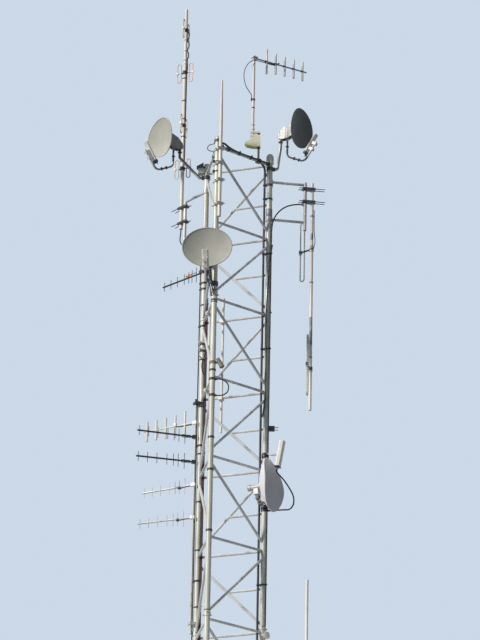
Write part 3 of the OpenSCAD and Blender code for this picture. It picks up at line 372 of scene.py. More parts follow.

# %% [markdown]
# ## Dish paint
# The small reflectors are pressed steel with a matt, grey-beige paint. Dust dulls them and rain draws
# pale runs down them. The right one's face is painted near-black as painted shade, and the large one is a
# paler grey with a slight violet tint, painted light for blue sky in shade. A second material would do for
# the painted shade, but the three reflectors are one solid with one slot, so the place and the way that a
# face looks pick it out.

# %% Paint on the reflectors


def dish_paint(name, ground, dusty, painted_shade_from=None):
    """Reflector paint. Past painted_shade_from along X, faces that look along X get a near-black painted
    shade.
    """
    f = Finish(name)
    dust = f.between(f.noise(0.30, 1.2, 3.0), 0.35, 0.70)
    runs = f.between(f.noise(0.018, 18.0, 3.0), 0.48, 0.80)
    specks = f.between(f.noise(0.010, 1.0, 5.0, 0.7), 0.66, 0.74)
    colour = f.mix(dust, ground, dusty)
    colour = f.mix(runs * 0.22, colour, [min(1, c * 1.25) for c in dusty])
    colour = f.mix(specks * 0.5, colour, [c * 0.5 for c in ground])
    if painted_shade_from is not None:
        # Painted shade: the right reflector's face, which looks along X, is painted near-black.
        along = f.between(f.part(f.place, "X"), painted_shade_from, painted_shade_from + 0.01)
        painted_shade_face = along * f.between(f.facing("X"), 0.42, 0.50)
        colour = f.mix(painted_shade_face * (0.9 - dust * 0.1), colour, (0.075, 0.078, 0.083))
    return f.done(colour, f.between(dust + runs * 0.4, -1.6, 2.0), f.noise(0.003, 1.0, 2.0), 0.00015,
                  specular=0.25)


small_dish_paint = dish_paint("small_dish_paint", (0.60, 0.60, 0.53), (0.51, 0.50, 0.45), 0.5)
# The large reflector's slight violet tint is painted light, standing in for blue sky light in shade.
large_dish_paint = dish_paint("large_dish_paint", (0.93, 0.91, 0.95), (0.85, 0.83, 0.88))

# %% [markdown]
# ## Dark fittings, plastic and rubber
# Clamps are painted black, and dust settles on what faces up. Rust breaks through at random spots.
# The cables' jacket is black too, but with no rust and a duller, greyer bloom.

# %% Black paint and jacket rubber


def dark_paint(name, ground, dust, rust=0.0):
    f = Finish(name)
    settled = f.between(f.facing("Z"), 0.1, 0.9) * f.between(f.noise(0.03, 1.0), 0.3, 0.7)
    patches = f.between(f.noise(0.022, 1.3, 6.0, 0.7), 0.60 - 0.1 * rust, 0.70)
    colour = f.mix(settled * 0.5 + f.noise(0.06) * 0.18, ground, dust)
    if rust:
        colour = f.mix(patches * min(1, rust), colour, (0.19, 0.075, 0.035))
    rough = f.between(settled + patches * 0.6, -1.3, 1.6)
    return f.done(colour, rough, f.noise(0.004, 1.0, 3.0) + patches * rust, 0.0003)


clamp_black = dark_paint("clamp_black", (0.022, 0.024, 0.032), (0.15, 0.14, 0.13), 0.5)
clamp_rusty = dark_paint("clamp_rusty", (0.045, 0.030, 0.028), (0.20, 0.13, 0.10), 1.0)
yagi_black = dark_paint("yagi_black", (0.016, 0.017, 0.022), (0.10, 0.10, 0.10))
jacket = dark_paint("jacket", (0.012, 0.013, 0.017), (0.07, 0.07, 0.075))
red_jacket = dark_paint("red_jacket", (0.062, 0.013, 0.018), (0.12, 0.05, 0.045))

# %% [markdown]
# ## Cases of instruments and radios
# The canister beside the front leg is a worn brown, and the small box with prongs below it is black. One slot
# serves both, so their height tells them apart. The radios' cases are cream, with grime that runs down.

# %% Instrument cases and radio housings
f = Finish("instrument_case")
worn = f.between(f.noise(0.03, 1.5, 5.0, 0.65), 0.35, 0.65)
brown = f.mix(worn, (0.22, 0.17, 0.13), (0.34, 0.30, 0.26))
canister = f.between(f.height(), 4.0, 4.1)
instrument_case = f.done(f.mix(canister, (0.020, 0.021, 0.026), brown), 0.6, f.noise(0.004, 1.0, 3.0), 0.0002)

f = Finish("radio_housing")
runs = f.between(f.noise(0.012, 12.0, 3.0), 0.5, 0.8)
grime = f.between(f.noise(0.09, 1.5, 5.0, 0.65), 0.52, 0.75)
colour = f.mix(runs * 0.22 + grime * 0.3, (0.92, 0.90, 0.84), (0.62, 0.57, 0.49))
radio_housing = f.done(colour, f.between(grime, -0.9, 1.8), f.noise(0.002, 1.0, 2.0), 0.0001)

# %% [markdown]
# The box beside the left leg's top has a pale body, and its hood above a height is painted near-black as
# painted shade. The upper yagi's feed box is an orange metal, which is made as copper that has begun to
# turn green.

# %% Hood and copper
f = Finish("hood_paint")
faded = f.between(f.noise(0.06, 2.0), 0.35, 0.65)
colour = f.mix(faded, (0.76, 0.74, 0.68), (0.60, 0.58, 0.53))
# Painted shade: everything above this height, the hood, is painted near-black.
painted_shade_on_hood = f.between(f.height(), 7.312, 7.317)
hood_paint = f.done(f.mix(painted_shade_on_hood, colour, (0.045, 0.048, 0.055)), 0.55, f.noise(0.004), 0.0002)

f = Finish("copper")
green = f.between(f.noise(0.02, 1.0, 5.0), 0.5, 0.7)
colour = f.mix(green * 0.5, (0.62, 0.27, 0.12), (0.30, 0.22, 0.14))
copper = f.done(colour, 0.45, f.noise(0.004), 0.0002, 0.6)

# %% [markdown]
# ## Rods of the left array
# The left array's folded rods are a pinkish, bare metal, and the short arms that hold them are black.
# The arms are whatever lies near the mast's line, so the distance from that line mixes the two.

# %% Metal of the left array
LEFT_MAST, ARM_REACH = Vector((-0.8623, 0.9886)), 0.050
f = Finish("dipole_metal")
rods = f.mix(f.between(f.noise(0.05, 1.5), 0.4, 0.6), (0.70, 0.62, 0.57), (0.52, 0.43, 0.38))
offset = f.node("VectorMath", {"operation": "SUBTRACT"}, {0: f.place, 1: at(LEFT_MAST, 0)})
flat = f.node("VectorMath", {"operation": "MULTIPLY"}, {0: offset, 1: (1, 1, 0)})
radius = f.node("VectorMath", {"operation": "LENGTH"}, {0: flat}, "Value")
arms = 1 - f.between(radius, ARM_REACH - 0.002, ARM_REACH + 0.002)
dipole_metal = f.done(f.mix(arms, rods, (0.03, 0.03, 0.035)), 0.5, f.noise(0.005), 0.0002, 0.3)

# %% [markdown]
# ## Painting the solids
# A solid's shape is already right, so it stays, and its plain colour is swapped for a finish.
# The slot on the object is changed and the mesh isn't, so the solid is still exactly as it was measured.

# %% A finish for every solid
FINISHES = {
    leg_zinc: ["legs_top_section", "legs_middle_section", "legs_base_section"],
    brace_zinc: ["bracing_left_face", "bracing_rear_face", "bracing_right_face"],
    bracket_zinc: ["dish_pipes", "lower_whip_arms", "steel_yagis"],
    dipole_zinc: ["right_array_dipoles"],
    cup_zinc: ["small_brackets"],
    yagi_pipe_zinc: ["left_yagi_pipe"],
    radio_arm_zinc: ["large_bracket", "feed_arms"],
    left_bracket_zinc: ["left_array_bracket"],
    right_bracket_zinc: ["right_array_bracket"],
    whip_clamp_zinc: ["main_whip_clamps"],
    mast_paint: ["left_array_mast", "main_whip", "top_yagi_mast", "thick_yagi", "inner_whips", "lower_whip"],
    top_yagi_paint: ["top_yagi"],
    banded_paint: ["right_array_mast"],
    bracket_paint: ["top_yagi_bracket"],
    dipole_metal: ["left_array_dipoles"],
    clamp_black: ["dish_pipe_clamps", "cable_clamps"],
    clamp_rusty: ["top_yagi_post"],
    hood_paint: ["corner_box"],
    yagi_black: ["black_yagis"],
    instrument_case: ["leg_instruments"],
    small_dish_paint: ["small_reflectors"],
    large_dish_paint: ["large_reflector"],
    radio_housing: ["small_radios", "large_radio"],
    jacket: ["leg_feeders"],
}
for finish, names in FINISHES.items():
    for name in names:
        for material_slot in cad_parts[name].material_slots:
            material_slot.material = finish
print("painted", sum(len(names) for names in FINISHES.values()), "nodes")

# %% [markdown]
# ## The loose cables
# Seven cables cross from one place to another without being strapped down. Each is a fixed length of
# coaxial cable that hangs in its own curve. A curve with a round bevel keeps its thickness in the bends,
# where a row of cylinders would show its joints.

# %% Free cables
CABLES = {
    "top_face_cord": (0.028, "stiff", "hanging", [
        [28, 58, 7325], [42, 87, 7325], [56, 116, 7325], [75, 180, 7312], [120, 290, 7300],
        [190, 415, 7292], [262, 545, 7288], [325, 635, 7268], [360, 687, 7222], [369.5, 704, 7170],
        [369.5, 704, 7135], [369.5, 704, 7100]]),
    "leg_top_cord": (0.010, "medium", "loose", [
        [-55, 44, 7325], [-80, 64, 7325], [-120, 92, 7338], [-165, 120, 7340], [-196, 155, 7325],
        [-198, 200, 7315], [-180, 238, 7318], [-155, 257, 7308], [-150, 260, 7280]]),
    "top_yagi_cord": (0.010, "medium", "hanging", [
        [499, 791, 8690], [516, 778, 8688], [497, 746, 8668], [450, 702, 8652], [388, 638, 8645],
        [315, 568, 8650], [262, 511, 8640], [212, 482, 8600], [170, 473, 8530], [150, 478, 8450],
        [153, 489, 8370], [172, 500, 8290], [205, 515, 8225], [235, 531, 8170], [236, 531, 8130]]),
    "right_array_cord": (0.018, "stiff", "hanging", [
        [796, 940, 6740], [773, 916, 6740], [715, 872, 6728], [632, 830, 6700], [560, 787, 6640],
        [505, 748, 6550], [478, 720, 6440], [470, 710, 6330], [470, 710, 6260], [470, 710, 6190]]),
    "left_array_cord": (0.016, "stiff", "hanging", [
        [-862, 989, 6655], [-862, 985, 6590], [-855, 950, 6490], [-815, 905, 6410], [-745, 868, 6370],
        [-670, 828, 6352], [-590, 788, 6350], [-520, 755, 6345], [-480, 733, 6320], [-477, 732, 6285],
        [-477, 732, 6250.5]]),
    "large_dish_cord": (0.018, "medium", "hanging", [
        [688.3, 447.4, 3074.5], [683, 447, 3045], [700, 455, 3012], [755, 495, 2945], [800, 575, 2860],
        [825, 650, 2780], [808, 705, 2700], [745, 745, 2655], [660, 764, 2662], [580, 755, 2662],
        [500, 745, 2662]]),
    "inner_loop_cord": (0.016, "medium", "hanging", [
        [55, 20, 4150], [95, 35, 4150], [145, 53, 4125], [178, 65, 4085], [185, 68, 4030],
        [168, 62, 3980], [130, 48, 3950], [95, 35, 3940], [55, 20, 3940]]),
}


def lay_cable(name, thickness, points):
    route = curved([Vector(p) / 1000 for p in points])
    line = bpy.data.curves.new(name + "_line", "CURVE")
    line.dimensions = "3D"
    line.bevel_depth, line.bevel_resolution, line.use_fill_caps = thickness / 2, 3, True
    spline = line.splines.new("POLY")
    spline.points.add(len(route) - 1)
    for point, place in zip(spline.points, route):
        point.co = (*place, 1)
    line.materials.append(jacket)
    cable = linked(name + "_cable", line)
    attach(cable, "root")
    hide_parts(name)
    route_length(route)
    print(name, "is", round(route_length(route), 3), "m long")


for name, (thickness, stiffness, lay, points) in CABLES.items():
    lay_cable(name, thickness, points)

# %% [markdown]
# ## Tools for small pieces
# Bolts, ties and boxes repeat all over the mast. They are built here with mesh operators, straight in the
# mast's own coordinates. Boxes and bands have bevelled edges, because real edges are never quite sharp.

# %% A maker of small pieces


class Piece:
    """A small piece under construction."""

    def __init__(self):
        self.mesh = bmesh.new()

    def turned(self, centre, way, length, diameter, tip, sides):
        """A round bar about its centre, which may taper to its tip."""
        turn = way.to_track_quat("Z", "Y").to_matrix().to_4x4()
        return bmesh.ops.create_cone(self.mesh, cap_ends=True, segments=sides, radius1=diameter / 2,
                                     radius2=tip / 2, depth=length, matrix=Matrix.Translation(centre) @ turn)

    def round_edges(self, edges, rounding):
        bmesh.ops.bevel(self.mesh, geom=edges, offset=rounding, segments=2, profile=0.5, material=-1,
                        affect="EDGES")

    def rod(self, start, end, diameter, sides=12, tip=None):
        start, end = Vector(start), Vector(end)
        self.turned((start + end) / 2, end - start, (end - start).length, diameter,
                    diameter if tip is None else tip, sides)

    def bolt(self, place, way, size):
        """A hexagon head on its washer, which looks along way."""
        place, way, washer = Vector(place), Vector(way).normalized(), 0.003
        self.rod(place, place + way * washer, size * 1.4)
        self.rod(place + way * washer, place + way * (washer + size * 0.5), size, 6)
        self.rod(place + way * (washer + size * 0.5), place + way * (washer + size * 0.9), size * 0.5)

    def block(self, matrix, size, rounding=0.002):
        made = bmesh.ops.create_cube(self.mesh, size=1, matrix=matrix @ Matrix.Diagonal((*size, 1)))
        self.round_edges(list({edge for vert in made["verts"] for edge in vert.link_edges}), rounding)

    def ring(self, place, way, diameter, height, rounding=0.0015):
        """A band round a tube, with its edges rounded."""
        made = self.turned(Vector(place), Vector(way).normalized(), height, diameter, diameter, 28)
        self.round_edges(list({e for v in made["verts"] for e in v.link_edges
                               if any(len(face.verts) > 4 for face in e.link_faces)}), rounding)

    def band(self, xy, z, diameter, height, rounding=0.0015):
        """A band round an upright tube."""
        self.ring(at(xy, z), (0, 0, 1), diameter, height, rounding)

    def finish(self, name, material, slot):
        bmesh.ops.recalc_face_normals(self.mesh, faces=self.mesh.faces)
        data = bpy.data.meshes.new(name)
        self.mesh.to_mesh(data)
        self.mesh.free()
        data.shade_smooth()
        data.set_sharp_from_angle(angle=math.radians(35))
        data.materials.append(material)
        piece = linked(name, data)
        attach(piece, "root")
        print(name, "has", len(data.polygons), "faces")


print("pieces are made of rods, bolts, blocks and bands")

# %% [markdown]
# ## Bent rods
# A strapped cable keeps one thickness in its bends. It is one circle that is extruded from place to place
# along its route, where a row of straight rods would gape.

# %% A sweep and a route with round corners


def sweep(piece, route, diameter, sides=8, closed=False):
    """A round rod along a route."""
    route = [Vector(p) for p in route]
    last, across, before = len(route) - 1, Vector((0.3, 0.2, 1)), None
    for i, here in enumerate(route):
        ahead = route[min(i + 1, last)] - route[max(i - 1, 0)]
        if closed and i in (0, last):
            ahead = route[1] - route[-2]
        ahead.normalize()
        across = (across - ahead * across.dot(ahead)).normalized()
        stand = Matrix.Translation(here) @ Matrix((across, ahead.cross(across), ahead)).transposed().to_4x4()
        if before is None:
            verts = bmesh.ops.create_circle(piece.mesh, cap_ends=not closed, segments=sides,
                                            radius=diameter / 2, matrix=stand)["verts"]
            ring = list({edge for vert in verts for edge in vert.link_edges})
        else:
            made = bmesh.ops.extrude_edge_only(piece.mesh, edges=ring)["geom"]
            verts = [g for g in made if isinstance(g, bmesh.types.BMVert)]
            ring = [g for g in made if isinstance(g, bmesh.types.BMEdge) and set(g.verts) <= set(verts)]
            bmesh.ops.transform(piece.mesh, matrix=stand @ before.inverted(), verts=verts)
        before = stand
    if not closed:
        bmesh.ops.holes_fill(piece.mesh, edges=ring)


def rounded_route(points, bend, steps=5):
    """The points with each inner corner turned into a short curve."""
    route = [Vector(points[0])]
    for a, b, c in zip(points, points[1:], points[2:]):
        a, b, c = Vector(a), Vector(b), Vector(c)
        near, far = b + (a - b).normalized() * bend, b + (c - b).normalized() * bend
        for k in range(steps + 1):
            t = k / steps
            route.append((1 - t) ** 2 * near + 2 * t * (1 - t) * b + t * t * far)
    return route + [Vector(points[-1])]


print("a square corner becomes", len(rounded_route([(0, 0, 0), (1, 0, 0), (1, 1, 0)], 0.2)) - 2, "places")

# %% [markdown]
# ## Bolts and nuts
# A mast without bolts looks cast in one piece. Each base plate has four studs with washers and nuts, and each
# leg joint has two crossed bolts. Threads could be spun, but they are too fine to show.

# %% Fastenings of the legs
STUD_REACH, JOINT_RADIUS = 0.075, 0.0415
WASHER_FOOT, NUT_FOOT, NUT_TOP, STUD_TOP = 0.0165, 0.0205, 0.0365, 0.062
piece = Piece()
for leg in (FRONT, RIGHT, LEFT):
    for x in (-STUD_REACH, STUD_REACH):
        for y in (-STUD_REACH, STUD_REACH):
            stud = leg + Vector((x, y))
            piece.rod(at(stud, WASHER_FOOT), at(stud, NUT_FOOT), 0.044, 20)
            piece.rod(at(stud, NUT_FOOT), at(stud, NUT_TOP), 0.034, 6)
            piece.rod(at(stud, NUT_TOP), at(stud, STUD_TOP), 0.019)
    for joint in (below(2, -0.056), below(6, -0.056)):
        for drop, turn in ((0.014, 20), (-0.014, 110)):
            out = at(heading(turn), 0)
            for side in (-1, 1):
                piece.bolt(at(leg, joint - drop) + out * side * JOINT_RADIUS, out * side, 0.016)
piece.finish("leg_fastenings", fitting_zinc, "leg_steel")

# %% [markdown]
# The main whip's clamps have bolt heads on their cheeks, and the blocks that hold the arrays' masts have nuts
# at both ends of their rods. A bump in the material would do from the front, but not in the outline.

# %% Fastenings of the clamps
CHEEK, NUT_ASIDE, WASHER_THICK, NUT_END = 0.0435, 0.030, 0.004, 0.013
BLOCK_BACK, BLOCK_FRONT = 0.035, 0.014
piece = Piece()
whip_way = Vector((0.059, -0.047)).normalized()
side_way = at((-whip_way.y, whip_way.x), 0)
for drop in (0.054, 0.25, 0.48, 0.80):
    for reach in (0.0437, 0.1015):
        for side in (-1, 1):
            place = at(whip_way * reach, below(0, drop)) + side_way * side * CHEEK
            piece.bolt(place, side_way * side, 0.015)
for leg, turn, arm, gap, mast, drops in ((LEFT, 150, 0.425, 0.080, 0.048, (0.310, 0.520)),
                                         (RIGHT, 30, 0.455, 0.090, 0.038, (0.285, 0.460))):
    out, across = at(heading(turn), 0), at(heading(turn + 90), 0)
    for drop in drops:
        for side in (-1, 1):
            for reach, way in ((-BLOCK_BACK, -1), (gap + mast / 2 + BLOCK_FRONT, 1)):
                place = at(leg, below(0, drop)) + out * (arm + reach) + across * side * NUT_ASIDE
                piece.rod(place, place + out * way * WASHER_THICK, 0.024)
                piece.rod(place + out * way * WASHER_THICK, place + out * way * NUT_END, 0.019, 6)
piece.finish("clamp_fastenings", fitting_zinc, "bracket_steel")

# %% [markdown]
# ## The small dishes' trim
# What is fixed to a dish turns with it, so each dish has a frame of its own: the origin is the middle of its
# reflector, and X looks outwards. A piece written once in that frame then fits all three.

# %% Places of the dishes
REFLECTOR_REACH, RADIO_OUT, RADIO_RISE, RADIO_LEAN = 0.235, 0.180, -0.255, math.radians(58)
DISHES = [(LEFT, (-0.326, -0.125), 230, 7.700, 7.196, 1), (FRONT, (-0.028, -0.107), -75.6, 5.741, 5.400, 1),
          (RIGHT, (0.122, 0.047), -5, 7.727, 7.196, -1)]
DISH_FRAMES = [placed(leg + Vector(offset) + REFLECTOR_REACH * heading(turn), z, turn)
               for leg, offset, turn, z, foot, side in DISHES]


def radio_point(along, across, side=0.0):
    """A place by the radio's length and height, in a dish's frame."""
    return Vector((RADIO_OUT + along * math.cos(RADIO_LEAN) - across * math.sin(RADIO_LEAN), side,
                   RADIO_RISE + along * math.sin(RADIO_LEAN) + across * math.cos(RADIO_LEAN)))


print("dish frames:", [tuple(round(x, 2) for x in here.translation) for here in DISH_FRAMES])

# %% [markdown]
# A reflector's edge is rolled into a bead. The bead follows the ellipse on the curved face, which a flat ring
# would miss, so its depth comes from the same curves as the faces.

# %% Rolled edges
BEAD, SUNK, SMALL_CURVE, CURVE_ACROSS, CURVE_UP = 0.013, 0.003, 0.780, 0.350, 0.540


def small_depth(y, z):
    return SMALL_CURVE - math.sqrt(SMALL_CURVE ** 2 - y * y - z * z) - SUNK


def large_depth(y, z):
    middle = CURVE_UP - CURVE_ACROSS + math.sqrt(CURVE_ACROSS ** 2 - y * y)
    return CURVE_UP - math.sqrt(middle ** 2 - z * z) - SUNK


def add_bead(piece, here, width, height, depth, lean, steps=72):
    """A bead round a reflector's edge, where depth gives how deep the face is at y and z."""
    turn, edge = Matrix.Rotation(math.radians(lean), 4, "Y"), []
    for k in range(steps + 1):
        y, z = width / 2 * math.cos(2 * math.pi * k / steps), height / 2 * math.sin(2 * math.pi * k / steps)
        edge.append(here @ (turn @ Vector((depth(y, z), y, z))))
    sweep(piece, edge, BEAD, closed=True)


piece = Piece()
for here in DISH_FRAMES:
    add_bead(piece, here, 0.606, 0.476, small_depth, 11)
piece.finish("small_rolled_edges", small_dish_paint, "dish_paint")

piece = Piece()
large_frame = placed(RIGHT + Vector((0.010, -0.305)) + 0.063 * heading(-2), below(4, 0.3024), -2)
add_bead(piece, large_frame, 0.596, 0.656, large_depth, -3)
piece.finish("large_rolled_edge", large_dish_paint, "large_dish_paint")

# %% [markdown]
# A dish carries its cable on the pipe and along the feed arm up to the radio, held by ties. The cable's route
# is the pipe's and the arm's own route, moved aside until it lies on them, so it can't float or sink.

# %% Cables on the dish pipes and feed arms
CABLE, BESIDE_PIPE, BESIDE_ARM, ARM_END = 0.013, 0.0275, 0.0205, -0.054
cables, ties = Piece(), Piece()
for here, (leg, offset, turn, z, foot, side) in zip(DISH_FRAMES, DISHES):
    out = Vector(offset).normalized()
    beside = at((-out.y, out.x), 0) * BESIDE_PIPE * side
    pipe = [at(leg + out * 0.070, foot), at(leg + out * 0.095, foot),
            at(leg + Vector(offset), foot + max(z - foot - 0.230, 0.040)),
            at(leg + Vector(offset), z - 0.115)]
    on_pipe = [p + beside for p in rounded_route(pipe, 0.020)]
    arm = rounded_route([(-0.140, 0, -0.150), (-0.140, 0, -0.370), radio_point(-0.235, ARM_END),
                         radio_point(-0.165, ARM_END)], 0.060)
    on_arm = [here @ (p + Vector((0, BESIDE_ARM * side, 0))) for p in arm]
    entry = [here @ p for p in (radio_point(-0.152, -0.035, 0.012 * side), radio_point(-0.150, -0.008),
                                radio_point(-0.143, 0))]
    sweep(cables, curved(on_pipe + on_arm + entry, 2), CABLE)
    middle = (on_pipe[-1] + pipe[-1]) * 0.5
    ties.rod(at(middle, middle.z - 0.05), at(middle, middle.z - 0.04), 0.058, 16)
    for k, share in ((0, 0.5), (6, 0.3), (6, 0.8)):
        a, b = (here @ (p + Vector((0, 0.0075 * side, 0))) for p in (arm[k], arm[k + 1]))
        centre = a.lerp(b, share)
        ties.rod(centre, centre + (b - a).normalized() * 0.009, 0.044, 16)
cables.finish("dish_cables", jacket, "cable_rubber")
ties.finish("dish_cable_ties", yagi_black, "black_plastic")

# %% [markdown]
# A radio's case is two halves with a seam, and its lower end is dark where the cable enters. The seam is a
# thin plate that stands a little proud, since a line in the paint would not catch the light.

# %% Dark ends and seams of the radios
ends, seams = Piece(), Piece()
for here in DISH_FRAMES:
    turned = here @ Matrix.Translation(radio_point(0, 0)) @ Matrix.Rotation(-RADIO_LEAN, 4, "Y")
    ends.block(turned @ Matrix.Translation((-0.128, 0, 0)), (0.040, 0.082, 0.036), 0.005)
    ends.rod(turned @ Vector((-0.170, 0.022, 0)), turned @ Vector((-0.145, 0.022, 0)), 0.018)
    seams.block(turned, (0.284, 0.0795, 0.006), 0.0015)
big_turned = placed(RIGHT + Vector((0.296, -0.287)), 3.260, 3) @ Matrix.Rotation(math.radians(-80), 4, "Y")
ends.block(big_turned @ Matrix.Translation((-0.160, 0, 0)), (0.018, 0.090, 0.064), 0.006)
seams.block(big_turned, (0.329, 0.0878, 0.006), 0.0015)
ends.finish("radio_ends", yagi_black, "black_plastic")
seams.finish("radio_seams", bracket_zinc, "radio_plastic")

# %% [markdown]
# ## Cables strapped to the masts
# The left array's harness bulges between its ties, and a thin feeder runs down the right array's mast. A
# simulated cable would settle elsewhere after each change, so the bulges are listed points.

# %% Harness, feeder and ties
RIGHT_MAST = RIGHT + 0.545 * heading(30)
harness, ties, pale_ties = Piece(), Piece(), Piece()


def strapped(mast, side, line, diameter):
    """A cable along a mast, on the side that looks along the heading."""
    sweep(harness, curved([at(mast + heading(side) * reach, z) for reach, z in line]), diameter)


strapped(LEFT_MAST, -12, [
    (0.026, 9.500), (0.040, 9.455), (0.049, 9.400), (0.041, 9.350), (0.029, 9.330), (0.046, 9.290),
    (0.050, 9.235), (0.029, 9.178), (0.044, 9.135), (0.046, 9.085), (0.029, 9.045), (0.034, 8.960),
    (0.034, 8.890)], 0.018)
strapped(LEFT_MAST, -30, [(0.036, 8.840), (0.037, 8.600), (0.035, 8.300), (0.036, 8.150)], 0.014)
strapped(LEFT_MAST, -30, [(0.036, 8.060), (0.037, 7.800), (0.036, 7.540)], 0.014)
strapped(RIGHT_MAST, 5, [(0.028, 6.680), (0.030, 6.400), (0.042, 6.260), (0.028, 6.170)], 0.010)
harness.finish("mast_cables", jacket, "cable_rubber")
for z in (8.78, 8.46, 8.20, 7.95, 7.60):
    ties.band(LEFT_MAST, z, 0.062, 0.010)
for z in (6.60, 6.19, 5.70, 4.70):
    ties.band(RIGHT_MAST, z, 0.047, 0.010)
ties.finish("mast_ties", yagi_black, "black_plastic")
for z in (9.338, 9.182, 9.048, 8.990):
    pale_ties.band(LEFT_MAST, z, 0.056, 0.016)
pale_ties.finish("pale_mast_ties", mast_paint, "mast_paint")

# %% [markdown]
# ## Straps and collars on the legs
# Below the front leg's upper joint sits a pale collar, and black straps hold the cable ends above it, each a
# little askew. Others hold the dish pipes and the right leg's cables. Painted bands would have no thickness
# against the sky, so each is a short turned ring with rounded edges.

# %% Straps and collars
CLAMP_HEIGHTS = (4.947, 4.858)
straps, pale = Piece(), Piece()
for z in (5.1795, 5.158):
    straps.band(FRONT, z, 0.081, 0.009)
pale.band(FRONT, 5.205, 0.083, 0.034, 0.004)
for z, lean in ((5.246, 14), (5.290, -18), (5.322, 10), (5.368, -6)):
    straps.ring(at(FRONT, z), at(heading(290) * math.sin(math.radians(lean)), 1), 0.078, 0.011)
for z in (1.234, 1.197):
    straps.band(FRONT, z, 0.081, 0.009)
for z in CLAMP_HEIGHTS:
    straps.band(LEFT, z - 0.027, 0.080, 0.014)
for z in (3.392, 3.335):
    straps.band(RIGHT, z, 0.082, 0.014)
for z in (7.040, 6.905):
    straps.ring(at(FRONT, z), at(heading(200) * 0.12, 1), 0.081, 0.014)
    straps.block(placed(0.045 * heading(218), z, 218), (0.024, 0.026, 0.034), 0.003)
pipe_foot, pipe_knee = at(RIGHT + Vector((0, -0.095)), 2.7026), at(RIGHT + Vector((0.010, -0.305)), 2.7426)
for piece, share, *size in ((straps, 0.22, 0.050, 0.016), (straps, 0.52, 0.048, 0.016),
                            (straps, 0.86, 0.050, 0.016), (pale, 0.36, 0.047, 0.026, 0.004),
                            (pale, 0.68, 0.049, 0.026, 0.004)):
    piece.ring(pipe_foot.lerp(pipe_knee, share), pipe_knee - pipe_foot, *size)
straps.finish("leg_straps", clamp_black, "dark_steel")

# %% [markdown]
# Two pale clamps with long prongs grip the left leg, each leg ends in a domed cap, and an arched bolt crosses
# the right leg's top. At this size a short cone on a rounded ring can't be told from a dome.

# %% Pale clamps, caps and arched bolt
LEG_TOP, PRONG_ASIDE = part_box("legs_top_section")[1][2], 0.047
for z in CLAMP_HEIGHTS:
    pale.block(placed(LEFT + NEARER * 0.043, z, 20.9), (0.118, 0.014, 0.024))
    for side in (-1, 1):
        prong = LEFT + RIGHTWARD * PRONG_ASIDE * side
        pale.rod(at(prong + NEARER * 0.062, z), at(prong - NEARER * 0.046, z), 0.012)
for leg in (FRONT, LEFT, RIGHT):
    pale.band(leg, LEG_TOP + 0.002, 0.076, 0.012, 0.005)
    pale.rod(at(leg, LEG_TOP + 0.007), at(leg, LEG_TOP + 0.019), 0.060, 24, 0.022)
arch = [at(RIGHT + RIGHTWARD * aside, LEG_TOP + rise) for aside, rise in (
    (-0.041, -0.110), (-0.041, -0.030), (-0.032, 0.012), (0, 0.030), (0.032, 0.012), (0.041, -0.030),
    (0.041, -0.110))]
sweep(pale, curved(arch, 5), 0.012, 10)
pale.band(RIGHT, LEG_TOP - 0.100, 0.090, 0.020, 0.004)
pale.finish("collars_and_caps", cap_zinc, "leg_steel")

# %% [markdown]
# ## Cable ends at the front leg
# Three short cables run from the middle dish's pipe down to the straps. They touch the pipe and the leg all
# the way, so they are strapped cable and not free cords.

# %% Strapped cable ends
ends = Piece()
for diameter, *points in (
        (0.016, (-0.026, -0.128, 5.470), (-0.020, -0.075, 5.385), (0.020, -0.048, 5.250)),
        (0.014, (-0.048, -0.104, 5.455), (-0.044, -0.045, 5.360), (-0.026, -0.045, 5.235)),
        (0.012, (-0.010, -0.110, 5.420), (0.022, -0.058, 5.330), (-0.010, -0.053, 5.255))):
    start, middle, end = (Vector(p) for p in points)
    bulge = start.lerp(middle, 0.55) + Vector((0, -0.004, 0))
    sweep(ends, curved([start, bulge, middle, middle.lerp(end, 0.6), end]), diameter)
ends.finish("strapped_cable_ends", jacket, "cable_rubber")

# %% [markdown]
# ## Feeds of the yagis
# A yagi is fed at one element, where a small box joins the cable to a folded rod. The black ones have a
# double hairpin near the pipe. Each hairpin is a closed loop swept round an ellipse, so it shows no joint.

# %% Hairpins and dark feed boxes
YAGI_PIPE = LEFT + Vector((-0.053, -0.053))
hairpins, feed_cables = Piece(), Piece()


def on_yagi(turn, z, place, side, drop):
    """A place on a yagi that looks along the heading turn, at a distance from its pipe."""
    return placed(YAGI_PIPE, z, turn) @ Vector((place, side, drop))


def feed_box(piece, turn, z, place, size, side=0, rise=0, rounding=0.002):
    piece.block(placed(YAGI_PIPE, z, turn) @ Matrix.Translation((place, side, rise)), size, rounding)


for turn, z in ((-142, 3.695), (-144, 3.370)):
    for first, last in ((0.050, 0.112), (0.118, 0.176)):
        middle, half = (first + last) / 2, (last - first) / 2
        loop = [on_yagi(turn, z, middle + half * math.cos(k * math.pi / 12), 0.012,
                        -0.006 + 0.018 * math.sin(k * math.pi / 12)) for k in range(25)]
        sweep(hairpins, loop, 0.007, 6, closed=True)
    feed_box(hairpins, turn, z - 0.004, 0.115, (0.030, 0.026, 0.030), 0.006)
for turn, z in ((171, 3.077), (178, 2.656)):
    feed_box(hairpins, turn, z - 0.010, 0.206, (0.034, 0.028, 0.034))
    sweep(feed_cables, [on_yagi(turn, z, *point) for point in (
        (0.196, 0, -0.024), (0.136, 0.004, -0.016), (0.10, 0.004, -0.0135), (0.04, 0.004, -0.0135))], 0.008)
hairpins.finish("yagi_hairpins", yagi_black, "black_plastic")

# %% [markdown]
# The upper yagi has an orange box and the thick one a bright box, with their cables tied under the boom. Each
# finish is a piece of its own, and the cables go with those above.

